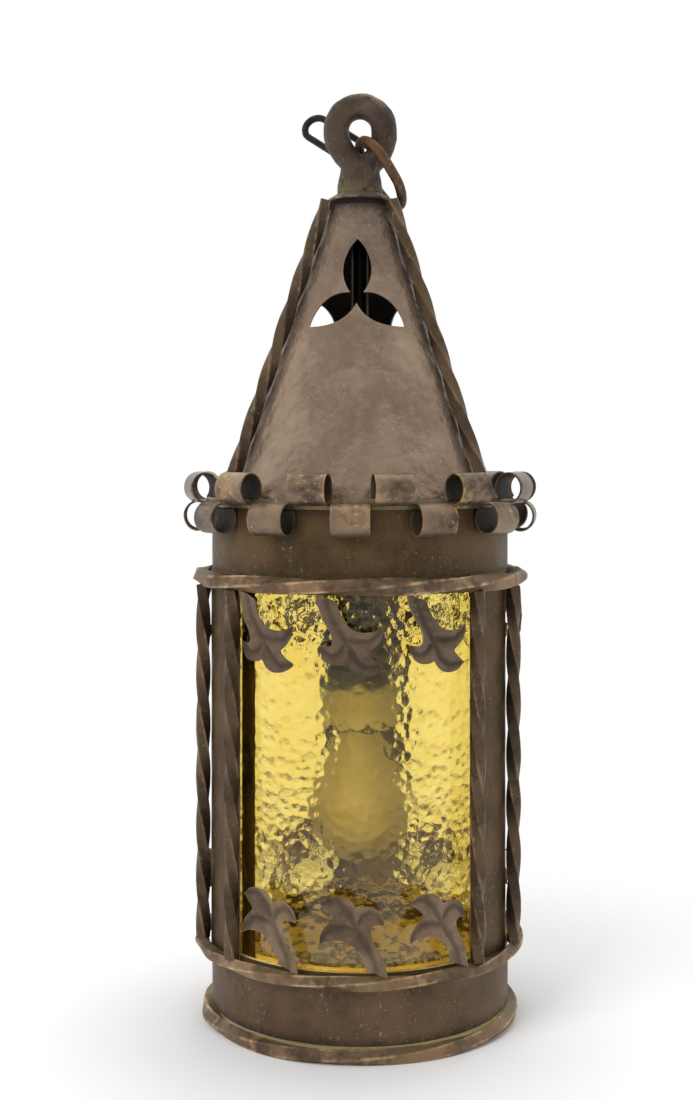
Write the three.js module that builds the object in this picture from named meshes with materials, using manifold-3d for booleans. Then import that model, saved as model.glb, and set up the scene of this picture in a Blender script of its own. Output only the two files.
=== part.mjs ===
// Hanging lantern of copper sheet and twisted bar, with curved amber panes and a pierced conical roof.
// Millimetres, +Z up. It stands on its foot ring at the origin, and one of its three windows faces -Y.
import * as THREE from 'three';
import { mergeVertices } from 'three/addons/utils/BufferGeometryUtils.js';
import Module from 'manifold-3d';

const wasm = await Module();
wasm.setup();

// Stock and fits
const sheet = 1.2;
const fit = 0.3;
const barSide = 6.35;
const quarterTurn = 29.4;
const stepsPerQuarter = 4;
const barStep = 8;
const roundSegments = 42;
const smallSegments = 20;
const linkSegments = 28;

// Body: two bands joined by three posts, with a twisted ring at each joint
const windows = 3;
const bandRadius = 88.2;
const postWidth = 41.9;
const barInset = 0.4;
const lowerRingSide = 6;
const lowerRingHeight = 45;
const upperRingSide = 7.2;
const windowHeight = 214;
const drumHeight = 43.4;
const upperRingTurns = 9;
const lowerRingTurns = 10;
const footRingTurns = 6;
const upperRingJoint = 68;
const lowerRingJoint = 176;
const footRingJoint = 180;
const footRingSide = 6.8;
const footRingInset = 3;
const footFlat = 1.2;
const bandLap = 1;
const sillWidth = 10.2;

// Panes and their edge channels
const paneThickness = 3;
const paneSetback = 2.5;
const paneGap = 3;
const paneRise = 2;
const channelWidth = 10.5;
const channelLeg = 5;
const channelFromBar = 0.8;

// Roof: a cone on a flange of rolled tabs
const roofInset = 6;
const roofTopRadius = 17.8;
const roofHeight = 175;
const flangeLip = 4;
const tabRoot = 3.3;
const tabCount = 26;
const tabSlit = 0.5;
const rollWidth = 16.2;
const rollHeight = 18;
const rollClear = 0.4;
const rollArc = 320;
const rollSegments = 6;
const roofBarFoot = 15;
const roofBarAbove = 2;
const backBarShort = 6.5;
const trefoilHeight = 118;
const topPetalReach = 37;
const sidePetalReach = 31.6;
const petalSwell = 10.2;
const petalSwellFrom = 0.32;
const petalSwellTo = 0.7;
const petalRoot = 4.5;

// Hanging fittings
const capOverhang = 1.3;
const capHeight = 7.2;
const capSeatInset = 0.9;
const capFlare = 2.8;
const capRim = 1.5;
const eyeRod = 14;
const eyeHole = 7.25;
const eyeRise = 38.4;
const hangPlaceX = 1;
const hangDrop = 7;
const hangEase = 2.2;
const leftSeat = [205, 230];
const rightSeat = [-15, -45];
const limbInNeck = 3;
const limbAtNeck = 4.4;
const neckWidth = 26.6;
const neckDepth = 15.4;
const neckHeight = 16;
const pipeEntry = 5.5;
const wireHole = 7;
const hangRod = 6;
const hangPlay = 12;
const hangLength = 44;
const hangLean = 31;
const hangBack = 7;
const hangTurn = 70;
const chainRod = 4.2;
const chainPlay = 4.8;
const chainLength = 50;
const chainRise = 35;
const chainBack = 20;
const chainTurn = 10;
const chainThread = 50;
const chainSlack = 1.8;

// Leaves: three above and three below in each window
const leavesPerWindow = 3;
const leafMargin = 6;
const leafHeight = 42.2;
const leafSheet = 1.6;
const leafHeadOffset = 11;
const leafLean = 0.07;

// Lamp, hung on a pipe from the neck
const lampHang = 260.7;
const pipeRadius = 5;
const pipeBore = 3.5;
const nutFlats = 17;
const nutHeight = 5;
const holderCapHeight = 18;
const holderCapCrown = 6;
const holderWall = 5.2;
const holderLip = 8.4;
const holderCover = 4;
const holderClear = 0.8;
const insertSeat = 3.1;
const insertThickness = 8;
const contactWidth = 6;
const contactLength = 10;
const contactThickness = 0.8;
const contactDrop = 2;
const bulbRadius = 30;
const bulbLength = 76;
const bulbNeckRadius = 12.4;
const bulbWall = 1;
const bulbShoulder = 105;
const bulbFlare = 3.5;
const bulbSteps = 7;
const bulbCapRadius = 13.1;
const bulbCapLength = 20;
const bulbTipRadius = 5;
const bulbTipLength = 3;

// Heights and radii that follow from those
const postRadius = bandRadius + fit + sheet;
const ringInside = postRadius + fit;
const reach = (side) => side * Math.SQRT1_2;
const lowerRingRadius = ringInside + reach(lowerRingSide);
const upperRingRadius = ringInside + reach(upperRingSide);
const windowBarRadius = ringInside + reach(barSide);
const upperRingHeight = lowerRingHeight + windowHeight;
const lowerRingTop = lowerRingHeight + reach(lowerRingSide);
const upperRingUnder = upperRingHeight - reach(upperRingSide);
const footRingRadius = bandRadius - footRingInset + reach(footRingSide);
const footRingHeight = reach(footRingSide) - footFlat;
const footRingTop = footRingHeight + reach(footRingSide);
const sillHeight = lowerRingHeight + bandLap;
const paneFoot = sillHeight + fit + sheet + fit;
const paneTop = upperRingUnder + paneRise;
const paneRadius = bandRadius - sheet - paneSetback;
const barAngle = (postWidth / 2 - barInset) / postRadius;
const windowAngle = (2 * Math.PI) / windows;
const leafPitch = (windowAngle - 2 * barAngle - leafMargin / windowBarRadius) / leavesPerWindow;
const eaveHeight = upperRingHeight + drumHeight;
const roofFootRadius = bandRadius - roofInset;
const tabRootRadius = bandRadius + tabRoot;
const rollRadius = bandRadius + rollClear + rollWidth / 2;
const flangeTop = eaveHeight + fit + sheet;
const roofFoot = flangeTop + fit;
const roofTop = roofFoot + roofHeight;
const roofSlope = Math.atan2(roofFootRadius - roofTopRadius, roofHeight);
const capRadius = roofTopRadius + capOverhang;
const capSeat = roofTopRadius - capSeatInset;
const capFoot = roofTop + fit;
const neckFoot = capFoot + capHeight + fit;
const eyeHeight = neckFoot + eyeRise;
const eyeRadius = eyeHole + eyeRod / 2;
const hangWidth = eyeRod + hangPlay + hangRod;
const chainWidth = hangRod + chainPlay + chainRod;
const pipeTop = neckFoot + pipeEntry;
const boreTop = pipeTop + fit + wireHole;
const holderCapTop = neckFoot - lampHang;
const pipeFoot = holderCapTop - holderCapCrown + fit;
const holderTop = holderCapTop - holderCapHeight - fit;
const insertFoot = holderTop - holderLip - insertThickness;
const holderFloor = insertFoot - fit;
const bulbCapFoot = holderFloor - contactDrop - bulbTipLength - bulbCapLength;
const bulbSeat = bulbCapFoot - fit;
const holderMouth = bulbSeat + holderCover;
const holderBore = bulbCapRadius + holderClear;
const insertRadius = holderBore + insertSeat;
const holderRadius = insertRadius + fit + holderWall;

const radians = THREE.MathUtils.degToRad;
const lantern = new THREE.Group();
lantern.name = 'pendant_lantern';

const finishes = {
  copper: { color: 0x6f5a45, roughness: 0.55, metalness: 0.85 },
  iron: { color: 0x2c2b29, roughness: 0.6, metalness: 0.8 },
  amber: { color: 0xe6bf52, roughness: 0.15, metalness: 0, transparent: true, opacity: 0.6 },
  brass: { color: 0xa98a4a, roughness: 0.4, metalness: 1 },
  bakelite: { color: 0x2a1d14, roughness: 0.45, metalness: 0 },
  porcelain: { color: 0xe6e1d4, roughness: 0.3, metalness: 0 },
  frosted: { color: 0xe2d9b8, roughness: 0.5, metalness: 0 },
};

function piece(name, geometry, finish, parent = lantern) {
  const mesh = new THREE.Mesh(geometry, new THREE.MeshStandardMaterial(finishes[finish]));
  mesh.name = name;
  parent.add(mesh);
  return mesh;
}

// A group turned about the lantern's axis, so that its -Y side faces the given angle
function turnedGroup(angle) {
  const group = new THREE.Group();
  group.rotation.z = angle;
  lantern.add(group);
  return group;
}

// A point at a radius and an angle from the front, counted towards +X
function polar(radius, angle, height) {
  return new THREE.Vector3(radius * Math.sin(angle), -radius * Math.cos(angle), height);
}

function solidOf(geometry) {
  const bare = geometry.clone();
  bare.deleteAttribute('normal');
  bare.deleteAttribute('uv');
  const merged = mergeVertices(bare, 1e-4);
  const index = Array.from(merged.index.array);
  const triVerts = [];
  for (let i = 0; i < index.length; i += 3) {
    const [a, b, c] = index.slice(i, i + 3);
    if (a !== b && b !== c && a !== c) triVerts.push(a, b, c);
  }
  const vertProperties = merged.attributes.position.array;
  const mesh = new wasm.Mesh({ numProp: 3, vertProperties, triVerts: new Uint32Array(triVerts) });
  return new wasm.Manifold(mesh);
}

function geometryOf(solid) {
  const { vertProperties, triVerts } = solid.getMesh();
  const geometry = new THREE.BufferGeometry();
  geometry.setAttribute('position', new THREE.BufferAttribute(vertProperties, 3));
  geometry.setIndex(new THREE.BufferAttribute(triVerts, 1));
  return geometry;
}

function joined(geometries) {
  const solids = geometries.map(solidOf);
  return geometryOf(solids.reduce((whole, next) => whole.add(next)));
}

function cut(geometry, cutters) {
  const tools = cutters.map(solidOf);
  return geometryOf(tools.reduce((whole, tool) => whole.subtract(tool), solidOf(geometry)));
}

// Each vertex moved to where the map sends it
function reshaped(geometry, map) {
  const position = geometry.attributes.position;
  for (let i = 0; i < position.count; i += 1) {
    const moved = map(position.getX(i), position.getY(i), position.getZ(i));
    position.setXYZ(i, moved.x, moved.y, moved.z);
  }
  return geometry;
}

// A profile of radius and height pairs turned about Z, with its faces outwards
function turned(profile, segments) {
  const area = profile.reduce((sum, [r, z], i) => {
    const [nextR, nextZ] = profile[(i + 1) % profile.length];
    return sum + r * nextZ - nextR * z;
  }, 0);
  const ordered = area > 0 ? profile : [...profile].reverse();
  const points = [...ordered, ordered[0]].map(([r, z]) => new THREE.Vector2(r, z));
  return new THREE.LatheGeometry(points, segments).rotateX(Math.PI / 2);
}

function ringPlate(inner, outer, bottom, top, segments) {
  return turned([[inner, bottom], [outer, bottom], [outer, top], [inner, top]], segments);
}

// A square bar along Z with a left-hand twist, a quarter turn in each pitch
function twistedBar(side, length, start, pitch = quarterTurn) {
  const steps = Math.ceil(Math.max((length / pitch) * stepsPerQuarter, length / barStep));
  const bar = new THREE.BoxGeometry(side, side, length, 1, 1, steps);
  const axis = new THREE.Vector3(0, 0, 1);
  return reshaped(bar, (x, y, z) => {
    const angle = start - (Math.PI / 2) * (z / pitch);
    return new THREE.Vector3(x, y, z).applyAxisAngle(axis, angle);
  });
}

// A bar with a number of quarter turns bent to a ring, its ends butted at the joint angle
function twistedRing(side, radius, height, joint, turns) {
  const length = 2 * Math.PI * radius - fit;
  const opposite = radians(joint + 180);
  const bar = twistedBar(side, length, Math.PI / 4, length / turns);
  return reshaped(bar, (x, y, z) => polar(radius + y, opposite + z / radius, height + x));
}

// A plate of the given arc width, curved about the lantern's axis
function curvedPlate(width, outer, thickness, bottom, top, segments) {
  const middle = outer - thickness / 2;
  const plate = new THREE.BoxGeometry(width, thickness, top - bottom, segments, 1, 1);
  return reshaped(plate, (x, y, z) => polar(middle - y, x / outer, z + (bottom + top) / 2));
}

function tubeAlong(points, radius, steps) {
  const section = new THREE.Shape().absarc(0, 0, radius, 0, 2 * Math.PI, false);
  const extrudePath = new THREE.CatmullRomCurve3(points);
  return new THREE.ExtrudeGeometry(section, { steps, curveSegments: 5, extrudePath });
}

function hexNut(bore) {
  const nut = new THREE.Shape();
  const corner = nutFlats / Math.sqrt(3);
  for (let i = 0; i < 6; i += 1) {
    const angle = (i * Math.PI) / 3;
    const place = [corner * Math.cos(angle), corner * Math.sin(angle)];
    if (i === 0) nut.moveTo(...place);
    else nut.lineTo(...place);
  }
  nut.holes.push(new THREE.Path().absarc(0, 0, bore, 0, 2 * Math.PI, true));
  return new THREE.ExtrudeGeometry(nut, { depth: nutHeight, bevelEnabled: false, curveSegments: 8 });
}

// Foot ring, with its crests dressed flat where the lantern stands
function footRing() {
  const bar = twistedRing(footRingSide, footRingRadius, footRingHeight, footRingJoint, footRingTurns);
  const span = 3 * footRingRadius;
  const floor = new THREE.BoxGeometry(span, span, footRingSide).translate(0, 0, -footRingSide / 2);
  return cut(bar, [floor]);
}

function band(bottom, top) {
  return ringPlate(bandRadius - sheet, bandRadius, bottom, top, roundSegments);
}

function buildBody() {
  piece('foot_ring', footRing(), 'copper');
  piece('base_band', band(footRingTop + fit, sillHeight), 'copper');
  const sillFoot = sillHeight + fit;
  const sill = ringPlate(bandRadius - sillWidth, bandRadius, sillFoot, sillFoot + sheet, roundSegments);
  piece('sill_ring', sill, 'copper');
  piece('drum_band', band(upperRingUnder, eaveHeight), 'copper');
  const lower = [lowerRingSide, lowerRingRadius, lowerRingHeight, lowerRingJoint, lowerRingTurns];
  piece('lower_ring', twistedRing(...lower), 'copper');
  const upper = [upperRingSide, upperRingRadius, upperRingHeight, upperRingJoint, upperRingTurns];
  piece('upper_ring', twistedRing(...upper), 'copper');

  const postFoot = lowerRingHeight - reach(lowerRingSide);
  const postTop = upperRingHeight + reach(upperRingSide);
  const barFoot = lowerRingTop + fit;
  const barLength = upperRingUnder - fit - barFoot;
  for (let i = 0; i < windows; i += 1) {
    const corner = turnedGroup((i + 0.5) * windowAngle);
    const post = curvedPlate(postWidth, postRadius, sheet, postFoot, postTop, 6);
    piece(`post_${i + 1}`, post, 'copper', corner);
    [-1, 1].forEach((side, k) => {
      const bar = piece(`window_bar_${2 * i + k + 1}`, twistedBar(barSide, barLength, 0), 'copper', corner);
      bar.position.copy(polar(windowBarRadius, side * barAngle, barFoot + barLength / 2));
    });
  }
}

// Angle channel behind the left edge of a pane: one leg along the glass and one leg inwards
function edgeChannel() {
  const outer = paneRadius - paneThickness - fit;
  const angle = barAngle - windowAngle / 2 - channelFromBar / outer;
  const height = paneTop - paneFoot;
  const face = curvedPlate(channelWidth, outer, sheet, 0, height, 3);
  const leg = new THREE.BoxGeometry(sheet, channelLeg, height);
  leg.translate(0, -outer + channelLeg / 2 + sheet / 2, height / 2);
  leg.rotateZ(-(channelWidth - sheet) / 2 / outer);
  return joined([face, leg]).rotateZ(angle).translate(0, 0, paneFoot);
}

function buildPanes() {
  const paneWidth = windowAngle * paneRadius - paneGap;
  for (let i = 0; i < windows; i += 1) {
    const bay = turnedGroup(i * windowAngle);
    const pane = curvedPlate(paneWidth, paneRadius, paneThickness, paneFoot, paneTop, 18);
    piece(`glass_pane_${i + 1}`, pane, 'amber', bay);
    piece(`pane_channel_${i + 1}`, edgeChannel(), 'copper', bay);
  }
}

// Three-lobed leaf on a leaning stem, drawn from the right end of its foot, with its head to the left.
// Each curve has the place of its bend and of its end, as shares of the leaf's height.
const leafFoot = 0.2133;
const leafCurves = [
  [0.1564, 0.218, 0.0142, 0.4336],
  [-0.0521, 0.6303, 0.0427, 0.6351],
  [0.1043, 0.6398, 0.1706, 0.6161],
  [0.1327, 0.8768, -0.0569, 0.8768],
  [-0.1422, 0.8768, -0.1943, 0.8389],
  [-0.2749, 1.019, -0.4502, 1],
  [-0.5924, 0.9858, -0.6777, 0.8815],
  [-0.545, 0.8057, -0.481, 0.7109],
  [-0.7014, 0.5592, -0.6682, 0.3697],
  [-0.5924, 0.4408, -0.4384, 0.4479],
  [-0.1469, 0.4408, -0.0616, 0],
];

function leafShape() {
  const leaf = new THREE.Shape();
  leaf.moveTo(leafFoot * leafHeight, 0);
  leafCurves.forEach((curve) => leaf.quadraticCurveTo(...curve.map((share) => share * leafHeight)));
  return leaf;
}

// A leaf curved round the lantern, standing on the lower ring or hung from the upper one
function leafGeometry(angle, radius, foot, upwards) {
  const settings = { depth: leafSheet, bevelEnabled: false, curveSegments: 3 };
  const flat = new THREE.ExtrudeGeometry(leafShape(), settings);
  return reshaped(flat, (u, v, w) => {
    const out = radius + w - leafSheet / 2 + leafLean * v;
    return polar(out, angle + (upwards * u) / radius, foot + upwards * v);
  });
}

function buildLeaves() {
  const lowerFoot = lowerRingTop + fit;
  const upperFoot = upperRingUnder - fit;
  for (let i = 0; i < windows; i += 1) {
    const bay = turnedGroup(i * windowAngle);
    for (let k = 0; k < leavesPerWindow; k += 1) {
      const number = leavesPerWindow * i + k + 1;
      const head = leafPitch * (k - (leavesPerWindow - 1) / 2);
      const lowerRoot = head + leafHeadOffset / lowerRingRadius;
      const upperRoot = head - leafHeadOffset / upperRingRadius;
      const lower = leafGeometry(lowerRoot, lowerRingRadius, lowerFoot, 1);
      const upper = leafGeometry(upperRoot, upperRingRadius, upperFoot, -1);
      piece(`lower_leaf_${number}`, lower, 'copper', bay);
      piece(`upper_leaf_${number}`, upper, 'copper', bay);
    }
  }
}

// A tab that runs out from the flange and rolls back to it, up or down
function rolledTab(direction) {
  const from = -Math.PI / 2;
  const to = from + radians(rollArc);
  const across = rollWidth / 2;
  const up = rollHeight / 2;
  const profile = new THREE.Shape();
  profile.moveTo(tabRootRadius - sheet, 0);
  profile.lineTo(rollRadius, 0);
  profile.absellipse(rollRadius, up, across, up, from, to, false);
  profile.absellipse(rollRadius, up, across - sheet, up - sheet, to, from, true);
  profile.lineTo(tabRootRadius - sheet, sheet);
  const width = (2 * Math.PI * tabRootRadius) / tabCount - tabSlit;
  const settings = { depth: width, bevelEnabled: false, curveSegments: rollSegments };
  const tab = new THREE.ExtrudeGeometry(profile, settings);
  tab.translate(0, 0, -width / 2);
  tab.rotateX(Math.PI / 2);
  tab.rotateZ(-Math.PI / 2);
  if (direction < 0) tab.translate(0, 0, -sheet / 2).rotateY(Math.PI).translate(0, 0, sheet / 2);
  return tab;
}

// A flat ring with its tabs rolled down and up in turn
function curlFlange() {
  const plate = ringPlate(roofFootRadius - flangeLip, tabRootRadius, 0, sheet, tabCount);
  const tabs = [];
  for (let i = 0; i < tabCount; i += 1) {
    const tab = rolledTab(i % 2 === 0 ? -1 : 1);
    tabs.push(tab.rotateZ((i * 2 * Math.PI) / tabCount));
  }
  return joined([plate, ...tabs]).translate(0, 0, eaveHeight + fit);
}

// Three pointed petals that meet at a small throat
function trefoilShape() {
  const trefoil = new THREE.Shape();
  const turn = (along, across, angle) => {
    const place = new THREE.Vector2(along, across).rotateAround(new THREE.Vector2(), angle);
    return [place.x, place.y];
  };
  const throatAlong = petalRoot * Math.cos(Math.PI / 3);
  const throatAcross = petalRoot * Math.sin(Math.PI / 3);
  for (let i = 0; i < 3; i += 1) {
    const angle = Math.PI / 2 + (i * 2 * Math.PI) / 3;
    const petalReach = i === 0 ? topPetalReach : sidePetalReach;
    const from = petalSwellFrom * petalReach;
    const to = petalSwellTo * petalReach;
    const tip = turn(petalReach, 0, angle);
    const end = turn(throatAlong, throatAcross, angle);
    const rise = [turn(from, -petalSwell, angle), turn(to, -petalSwell, angle)].flat();
    const fall = [turn(to, petalSwell, angle), turn(from, petalSwell, angle)].flat();
    if (i === 0) trefoil.moveTo(...turn(throatAlong, -throatAcross, angle));
    trefoil.bezierCurveTo(...rise, ...tip);
    trefoil.bezierCurveTo(...fall, ...end);
  }
  return trefoil;
}

function coneRadius(height) {
  return roofFootRadius - (height - roofFoot) * Math.tan(roofSlope);
}

function roofCone() {
  const skin = sheet / Math.cos(roofSlope);
  const cone = turned(
    [
      [roofFootRadius - skin, roofFoot],
      [roofFootRadius, roofFoot],
      [roofTopRadius, roofTop],
      [roofTopRadius - skin, roofTop],
    ],
    roundSegments,
  );
  const height = roofFoot + trefoilHeight;
  const depth = coneRadius(height);
  const settings = { depth, bevelEnabled: false, curveSegments: 5 };
  const cutters = Array.from({ length: windows }, (_, i) => {
    const cutter = new THREE.ExtrudeGeometry(trefoilShape(), settings);
    cutter.translate(0, 0, -depth / 2);
    cutter.rotateX(Math.PI / 2 - roofSlope);
    return cutter.translate(0, -depth, height).rotateZ(i * windowAngle);
  });
  return cut(cone, cutters);
}

function buildRoof() {
  piece('curl_flange', curlFlange(), 'copper');
  piece('roof_cone', roofCone(), 'copper');
  const offset = (reach(barSide) + fit) / Math.cos(roofSlope);
  const fullRise = roofHeight - roofBarFoot + roofBarAbove;
  for (let i = 0; i < windows; i += 1) {
    // The back bar stops lower, where the chain link swings past its top
    const rise = i === 1 ? fullRise - backBarShort : fullRise;
    const length = rise / Math.cos(roofSlope);
    const middle = roofFoot + roofBarFoot + rise / 2;
    const corner = turnedGroup((i + 0.5) * windowAngle);
    const bar = piece(`roof_bar_${i + 1}`, twistedBar(barSide, length, Math.PI / 4), 'copper', corner);
    bar.position.copy(polar(coneRadius(middle) + offset, 0, middle));
    bar.rotation.x = -roofSlope;
  }
}

// Forged eye: a thick rod bent to a loop, its two ends welded into a neck that the lamp pipe screws into
function hangingEye() {
  const rod = eyeRod / 2;
  const top = new THREE.Vector3(0, 0, eyeRadius);
  const arc = (degrees) => {
    const angle = radians(degrees);
    return new THREE.Vector3(eyeRadius * Math.cos(angle), 0, eyeRadius * Math.sin(angle));
  };
  const seat = (degrees) => {
    const angle = radians(degrees);
    const away = rod + hangRod / 2 + hangEase;
    return new THREE.Vector3(hangPlaceX + away * Math.cos(angle), 0, away * Math.sin(angle) - hangDrop);
  };
  const neckTop = neckFoot + neckHeight - eyeHeight;
  const inNeck = (x, z) => new THREE.Vector3(x, 0, z);
  const left = [top, arc(120), arc(150), arc(180), ...leftSeat.map(seat)];
  left.push(inNeck(-limbInNeck, neckTop), inNeck(-limbInNeck, neckTop - rod));
  const right = [top, arc(60), arc(30), arc(0), ...rightSeat.map(seat)];
  right.push(inNeck(limbAtNeck, neckTop), inNeck(limbInNeck, neckTop - rod));
  const limbs = [left, right].map((points) => tubeAlong(points, rod, 14).translate(0, 0, eyeHeight));
  const crown = new THREE.SphereGeometry(rod, 12, 8).translate(0, 0, eyeHeight + eyeRadius);
  const neck = turned(
    [
      [0, neckFoot],
      [neckWidth / 2, neckFoot],
      [neckWidth / 2 - sheet, neckFoot + neckHeight / 2],
      [neckWidth / 2 - 2 * sheet, neckFoot + neckHeight],
      [0, neckFoot + neckHeight + sheet],
    ],
    smallSegments,
  ).scale(1, neckDepth / neckWidth, 1);
  const bore = turned(
    [
      [0, neckFoot - fit],
      [pipeRadius + fit, neckFoot - fit],
      [pipeRadius + fit, boreTop],
      [0, boreTop],
    ],
    smallSegments,
  );
  const inlet = new THREE.CylinderGeometry(wireHole / 2, wireHole / 2, neckDepth, 10);
  inlet.translate(0, neckDepth / 2, boreTop - wireHole / 2);
  return cut(joined([...limbs, crown, neck]), [bore, inlet]);
}

// An oval ring of round rod, hung from the middle of its upper end
function ovalLink(rod, width, length) {
  const link = new THREE.TorusGeometry(width / 2, rod / 2, 8, linkSegments);
  link.rotateZ(Math.PI / linkSegments);
  const stretch = (length - width) / 2;
  reshaped(link, (x, y, z) => new THREE.Vector3(x, y + Math.sign(y) * stretch, z));
  return link.rotateX(Math.PI / 2).translate(0, 0, -length / 2);
}

function buildHanging() {
  const cap = turned(
    [
      [pipeRadius + fit, capFoot],
      [capSeat, capFoot],
      [capRadius, capFoot + capFlare],
      [capRadius, capFoot + capFlare + capRim],
      [neckWidth / 2 + sheet, capFoot + capHeight],
      [pipeRadius + fit, capFoot + capHeight],
    ],
    roundSegments / 2,
  );
  piece('roof_cap', cap, 'copper');
  piece('hanging_eye', hangingEye(), 'copper');

  const hangLink = piece('hanging_link', ovalLink(hangRod, hangWidth, hangLength), 'copper');
  hangLink.position.set(hangPlaceX, 0, eyeHeight - hangDrop);
  hangLink.rotation.set(radians(hangBack), -radians(hangLean), -radians(hangTurn), 'YXZ');

  const chainLink = piece('chain_link', ovalLink(chainRod, chainWidth, chainLength), 'iron');
  threadOn(chainLink, hangLink);
}

// The chain link is threaded on the back run of the hanging link and reaches up to the left behind the eye
function threadOn(chainLink, hangLink) {
  const around = radians(chainThread);
  const bend = hangWidth / 2;
  hangLink.updateMatrix();
  const end = new THREE.Vector3(-bend * Math.sin(around), 0, bend * (Math.cos(around) - 1));
  end.applyMatrix4(hangLink.matrix);
  const lean = new THREE.Euler(0, radians(chainRise), -radians(chainBack), 'YZX');
  const towards = new THREE.Vector3(-1, 0, 0).applyEuler(lean);
  const across = new THREE.Vector3(0, 1, 0).cross(towards).normalize();
  across.applyAxisAngle(towards, radians(chainTurn));
  const normal = across.clone().cross(towards);
  const basis = new THREE.Matrix4().makeBasis(across, normal, towards.clone().negate());
  chainLink.quaternion.setFromRotationMatrix(basis);
  chainLink.position.copy(end).addScaledVector(towards, -(hangRod + chainRod) / 2 - chainSlack);
}

// Half outline of the bulb's glass, from its crown to its open neck, set in by a wall
function bulbOutline(wall) {
  const crown = bulbSeat - bulbLength + bulbRadius;
  const radius = bulbRadius - wall;
  const outline = [];
  for (let i = 0; i <= bulbSteps; i += 1) {
    const angle = (i / bulbSteps) * radians(bulbShoulder);
    outline.push([radius * Math.sin(angle), crown - radius * Math.cos(angle)]);
  }
  outline.push([bulbNeckRadius + bulbFlare - wall, bulbSeat - bulbNeckRadius]);
  outline.push([bulbNeckRadius - wall, bulbSeat]);
  return outline;
}

// Lamp: a pipe from the neck carries the holder, and the bulb screws up into it
function buildLamp() {
  const pipe = ringPlate(pipeBore, pipeRadius, pipeFoot, pipeTop, smallSegments);
  piece('lamp_pipe', pipe, 'brass');
  const nutBore = pipeRadius + fit;
  piece('cap_nut', hexNut(nutBore), 'brass').position.z = capFoot - fit - nutHeight;
  piece('holder_nut', hexNut(nutBore), 'brass').position.z = holderCapTop + fit;

  const holder = turned(
    [
      [holderBore, holderMouth],
      [holderRadius, holderMouth],
      [holderRadius, holderTop],
      [insertRadius + fit, holderTop],
      [insertRadius + fit, holderFloor],
      [holderBore, holderFloor],
    ],
    smallSegments,
  );
  piece('lamp_holder', holder, 'bakelite');
  const insert = ringPlate(pipeBore, insertRadius, insertFoot, insertFoot + insertThickness, smallSegments);
  piece('holder_insert', insert, 'porcelain');
  const contact = new THREE.BoxGeometry(contactWidth, contactLength, contactThickness);
  piece('contact_tongue', contact, 'brass').position.z = insertFoot - fit - contactThickness / 2;

  const shoulder = holderCapTop - holderCapHeight / 2;
  const holderCap = turned(
    [
      [insertRadius, holderTop + fit],
      [holderRadius, holderTop + fit],
      [holderRadius, shoulder],
      [nutFlats / 2 + sheet, holderCapTop],
      [nutBore, holderCapTop],
      [nutBore, holderCapTop - holderCapCrown],
      [insertRadius, shoulder - holderCapCrown / 2],
    ],
    smallSegments,
  );
  piece('holder_cap', holderCap, 'bakelite');

  const outside = bulbOutline(0);
  const inside = bulbOutline(bulbWall).reverse();
  piece('bulb', turned([...outside, ...inside], smallSegments + 4), 'frosted');
  const bulbCap = turned(
    [
      [0, bulbCapFoot],
      [bulbCapRadius, bulbCapFoot],
      [bulbCapRadius, bulbCapFoot + bulbCapLength - bulbTipLength],
      [bulbTipRadius, bulbCapFoot + bulbCapLength],
      [bulbTipRadius, bulbCapFoot + bulbCapLength + bulbTipLength],
      [0, bulbCapFoot + bulbCapLength + bulbTipLength],
    ],
    smallSegments,
  );
  piece('bulb_cap', bulbCap, 'brass');
}

buildBody();
buildPanes();
buildLeaves();
buildRoof();
buildHanging();
buildLamp();

export default lantern;
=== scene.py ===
"""Looks of a hanging lantern: patinated copper sheet, twisted square bar, leaves and bent amber panes.

Metres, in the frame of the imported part: it stands at the origin, +Z up, one window towards -Y.
"""

import math
import random

import bpy
import numpy as np
from mathutils import Matrix, Vector


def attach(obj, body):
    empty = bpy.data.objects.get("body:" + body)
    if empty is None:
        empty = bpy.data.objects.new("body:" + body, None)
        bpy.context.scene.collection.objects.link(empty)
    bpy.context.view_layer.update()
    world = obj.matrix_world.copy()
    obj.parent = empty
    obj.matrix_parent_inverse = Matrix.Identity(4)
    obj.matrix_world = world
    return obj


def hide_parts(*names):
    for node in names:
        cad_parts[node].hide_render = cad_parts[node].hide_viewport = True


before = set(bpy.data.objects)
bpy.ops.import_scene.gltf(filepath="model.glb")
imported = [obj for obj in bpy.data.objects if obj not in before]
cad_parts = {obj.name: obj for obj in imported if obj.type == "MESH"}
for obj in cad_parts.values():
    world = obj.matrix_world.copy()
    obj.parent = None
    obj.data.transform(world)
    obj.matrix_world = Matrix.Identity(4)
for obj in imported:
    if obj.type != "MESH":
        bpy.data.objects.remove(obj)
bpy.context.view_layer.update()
bpy.ops.object.select_all(action="DESELECT")
chance = random.Random(7)

# Sizes of the lantern's pieces
MM = 0.001
SHEET = 1.2 * MM
FIT = 0.3 * MM
BAR_SIDE = 6.35 * MM
QUARTER_TURN = 29.4 * MM
BAND_RADIUS = 88.2 * MM
POST_RADIUS = BAND_RADIUS + FIT + SHEET
POST_WIDTH = 41.9 * MM
RING_INSIDE = POST_RADIUS + FIT
LOWER_RING_SIDE = 6 * MM
UPPER_RING_SIDE = 7.2 * MM
FOOT_RING_SIDE = 6.8 * MM
DIAGONAL = math.sqrt(0.5)
LOWER_RING_RADIUS = RING_INSIDE + DIAGONAL * LOWER_RING_SIDE
UPPER_RING_RADIUS = RING_INSIDE + DIAGONAL * UPPER_RING_SIDE
WINDOW_BAR_RADIUS = RING_INSIDE + DIAGONAL * BAR_SIDE
FOOT_RING_RADIUS = BAND_RADIUS - 3 * MM + DIAGONAL * FOOT_RING_SIDE
FOOT_RING_HEIGHT = DIAGONAL * FOOT_RING_SIDE - 1.2 * MM
FOOT_RING_TOP = FOOT_RING_HEIGHT + DIAGONAL * FOOT_RING_SIDE
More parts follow.
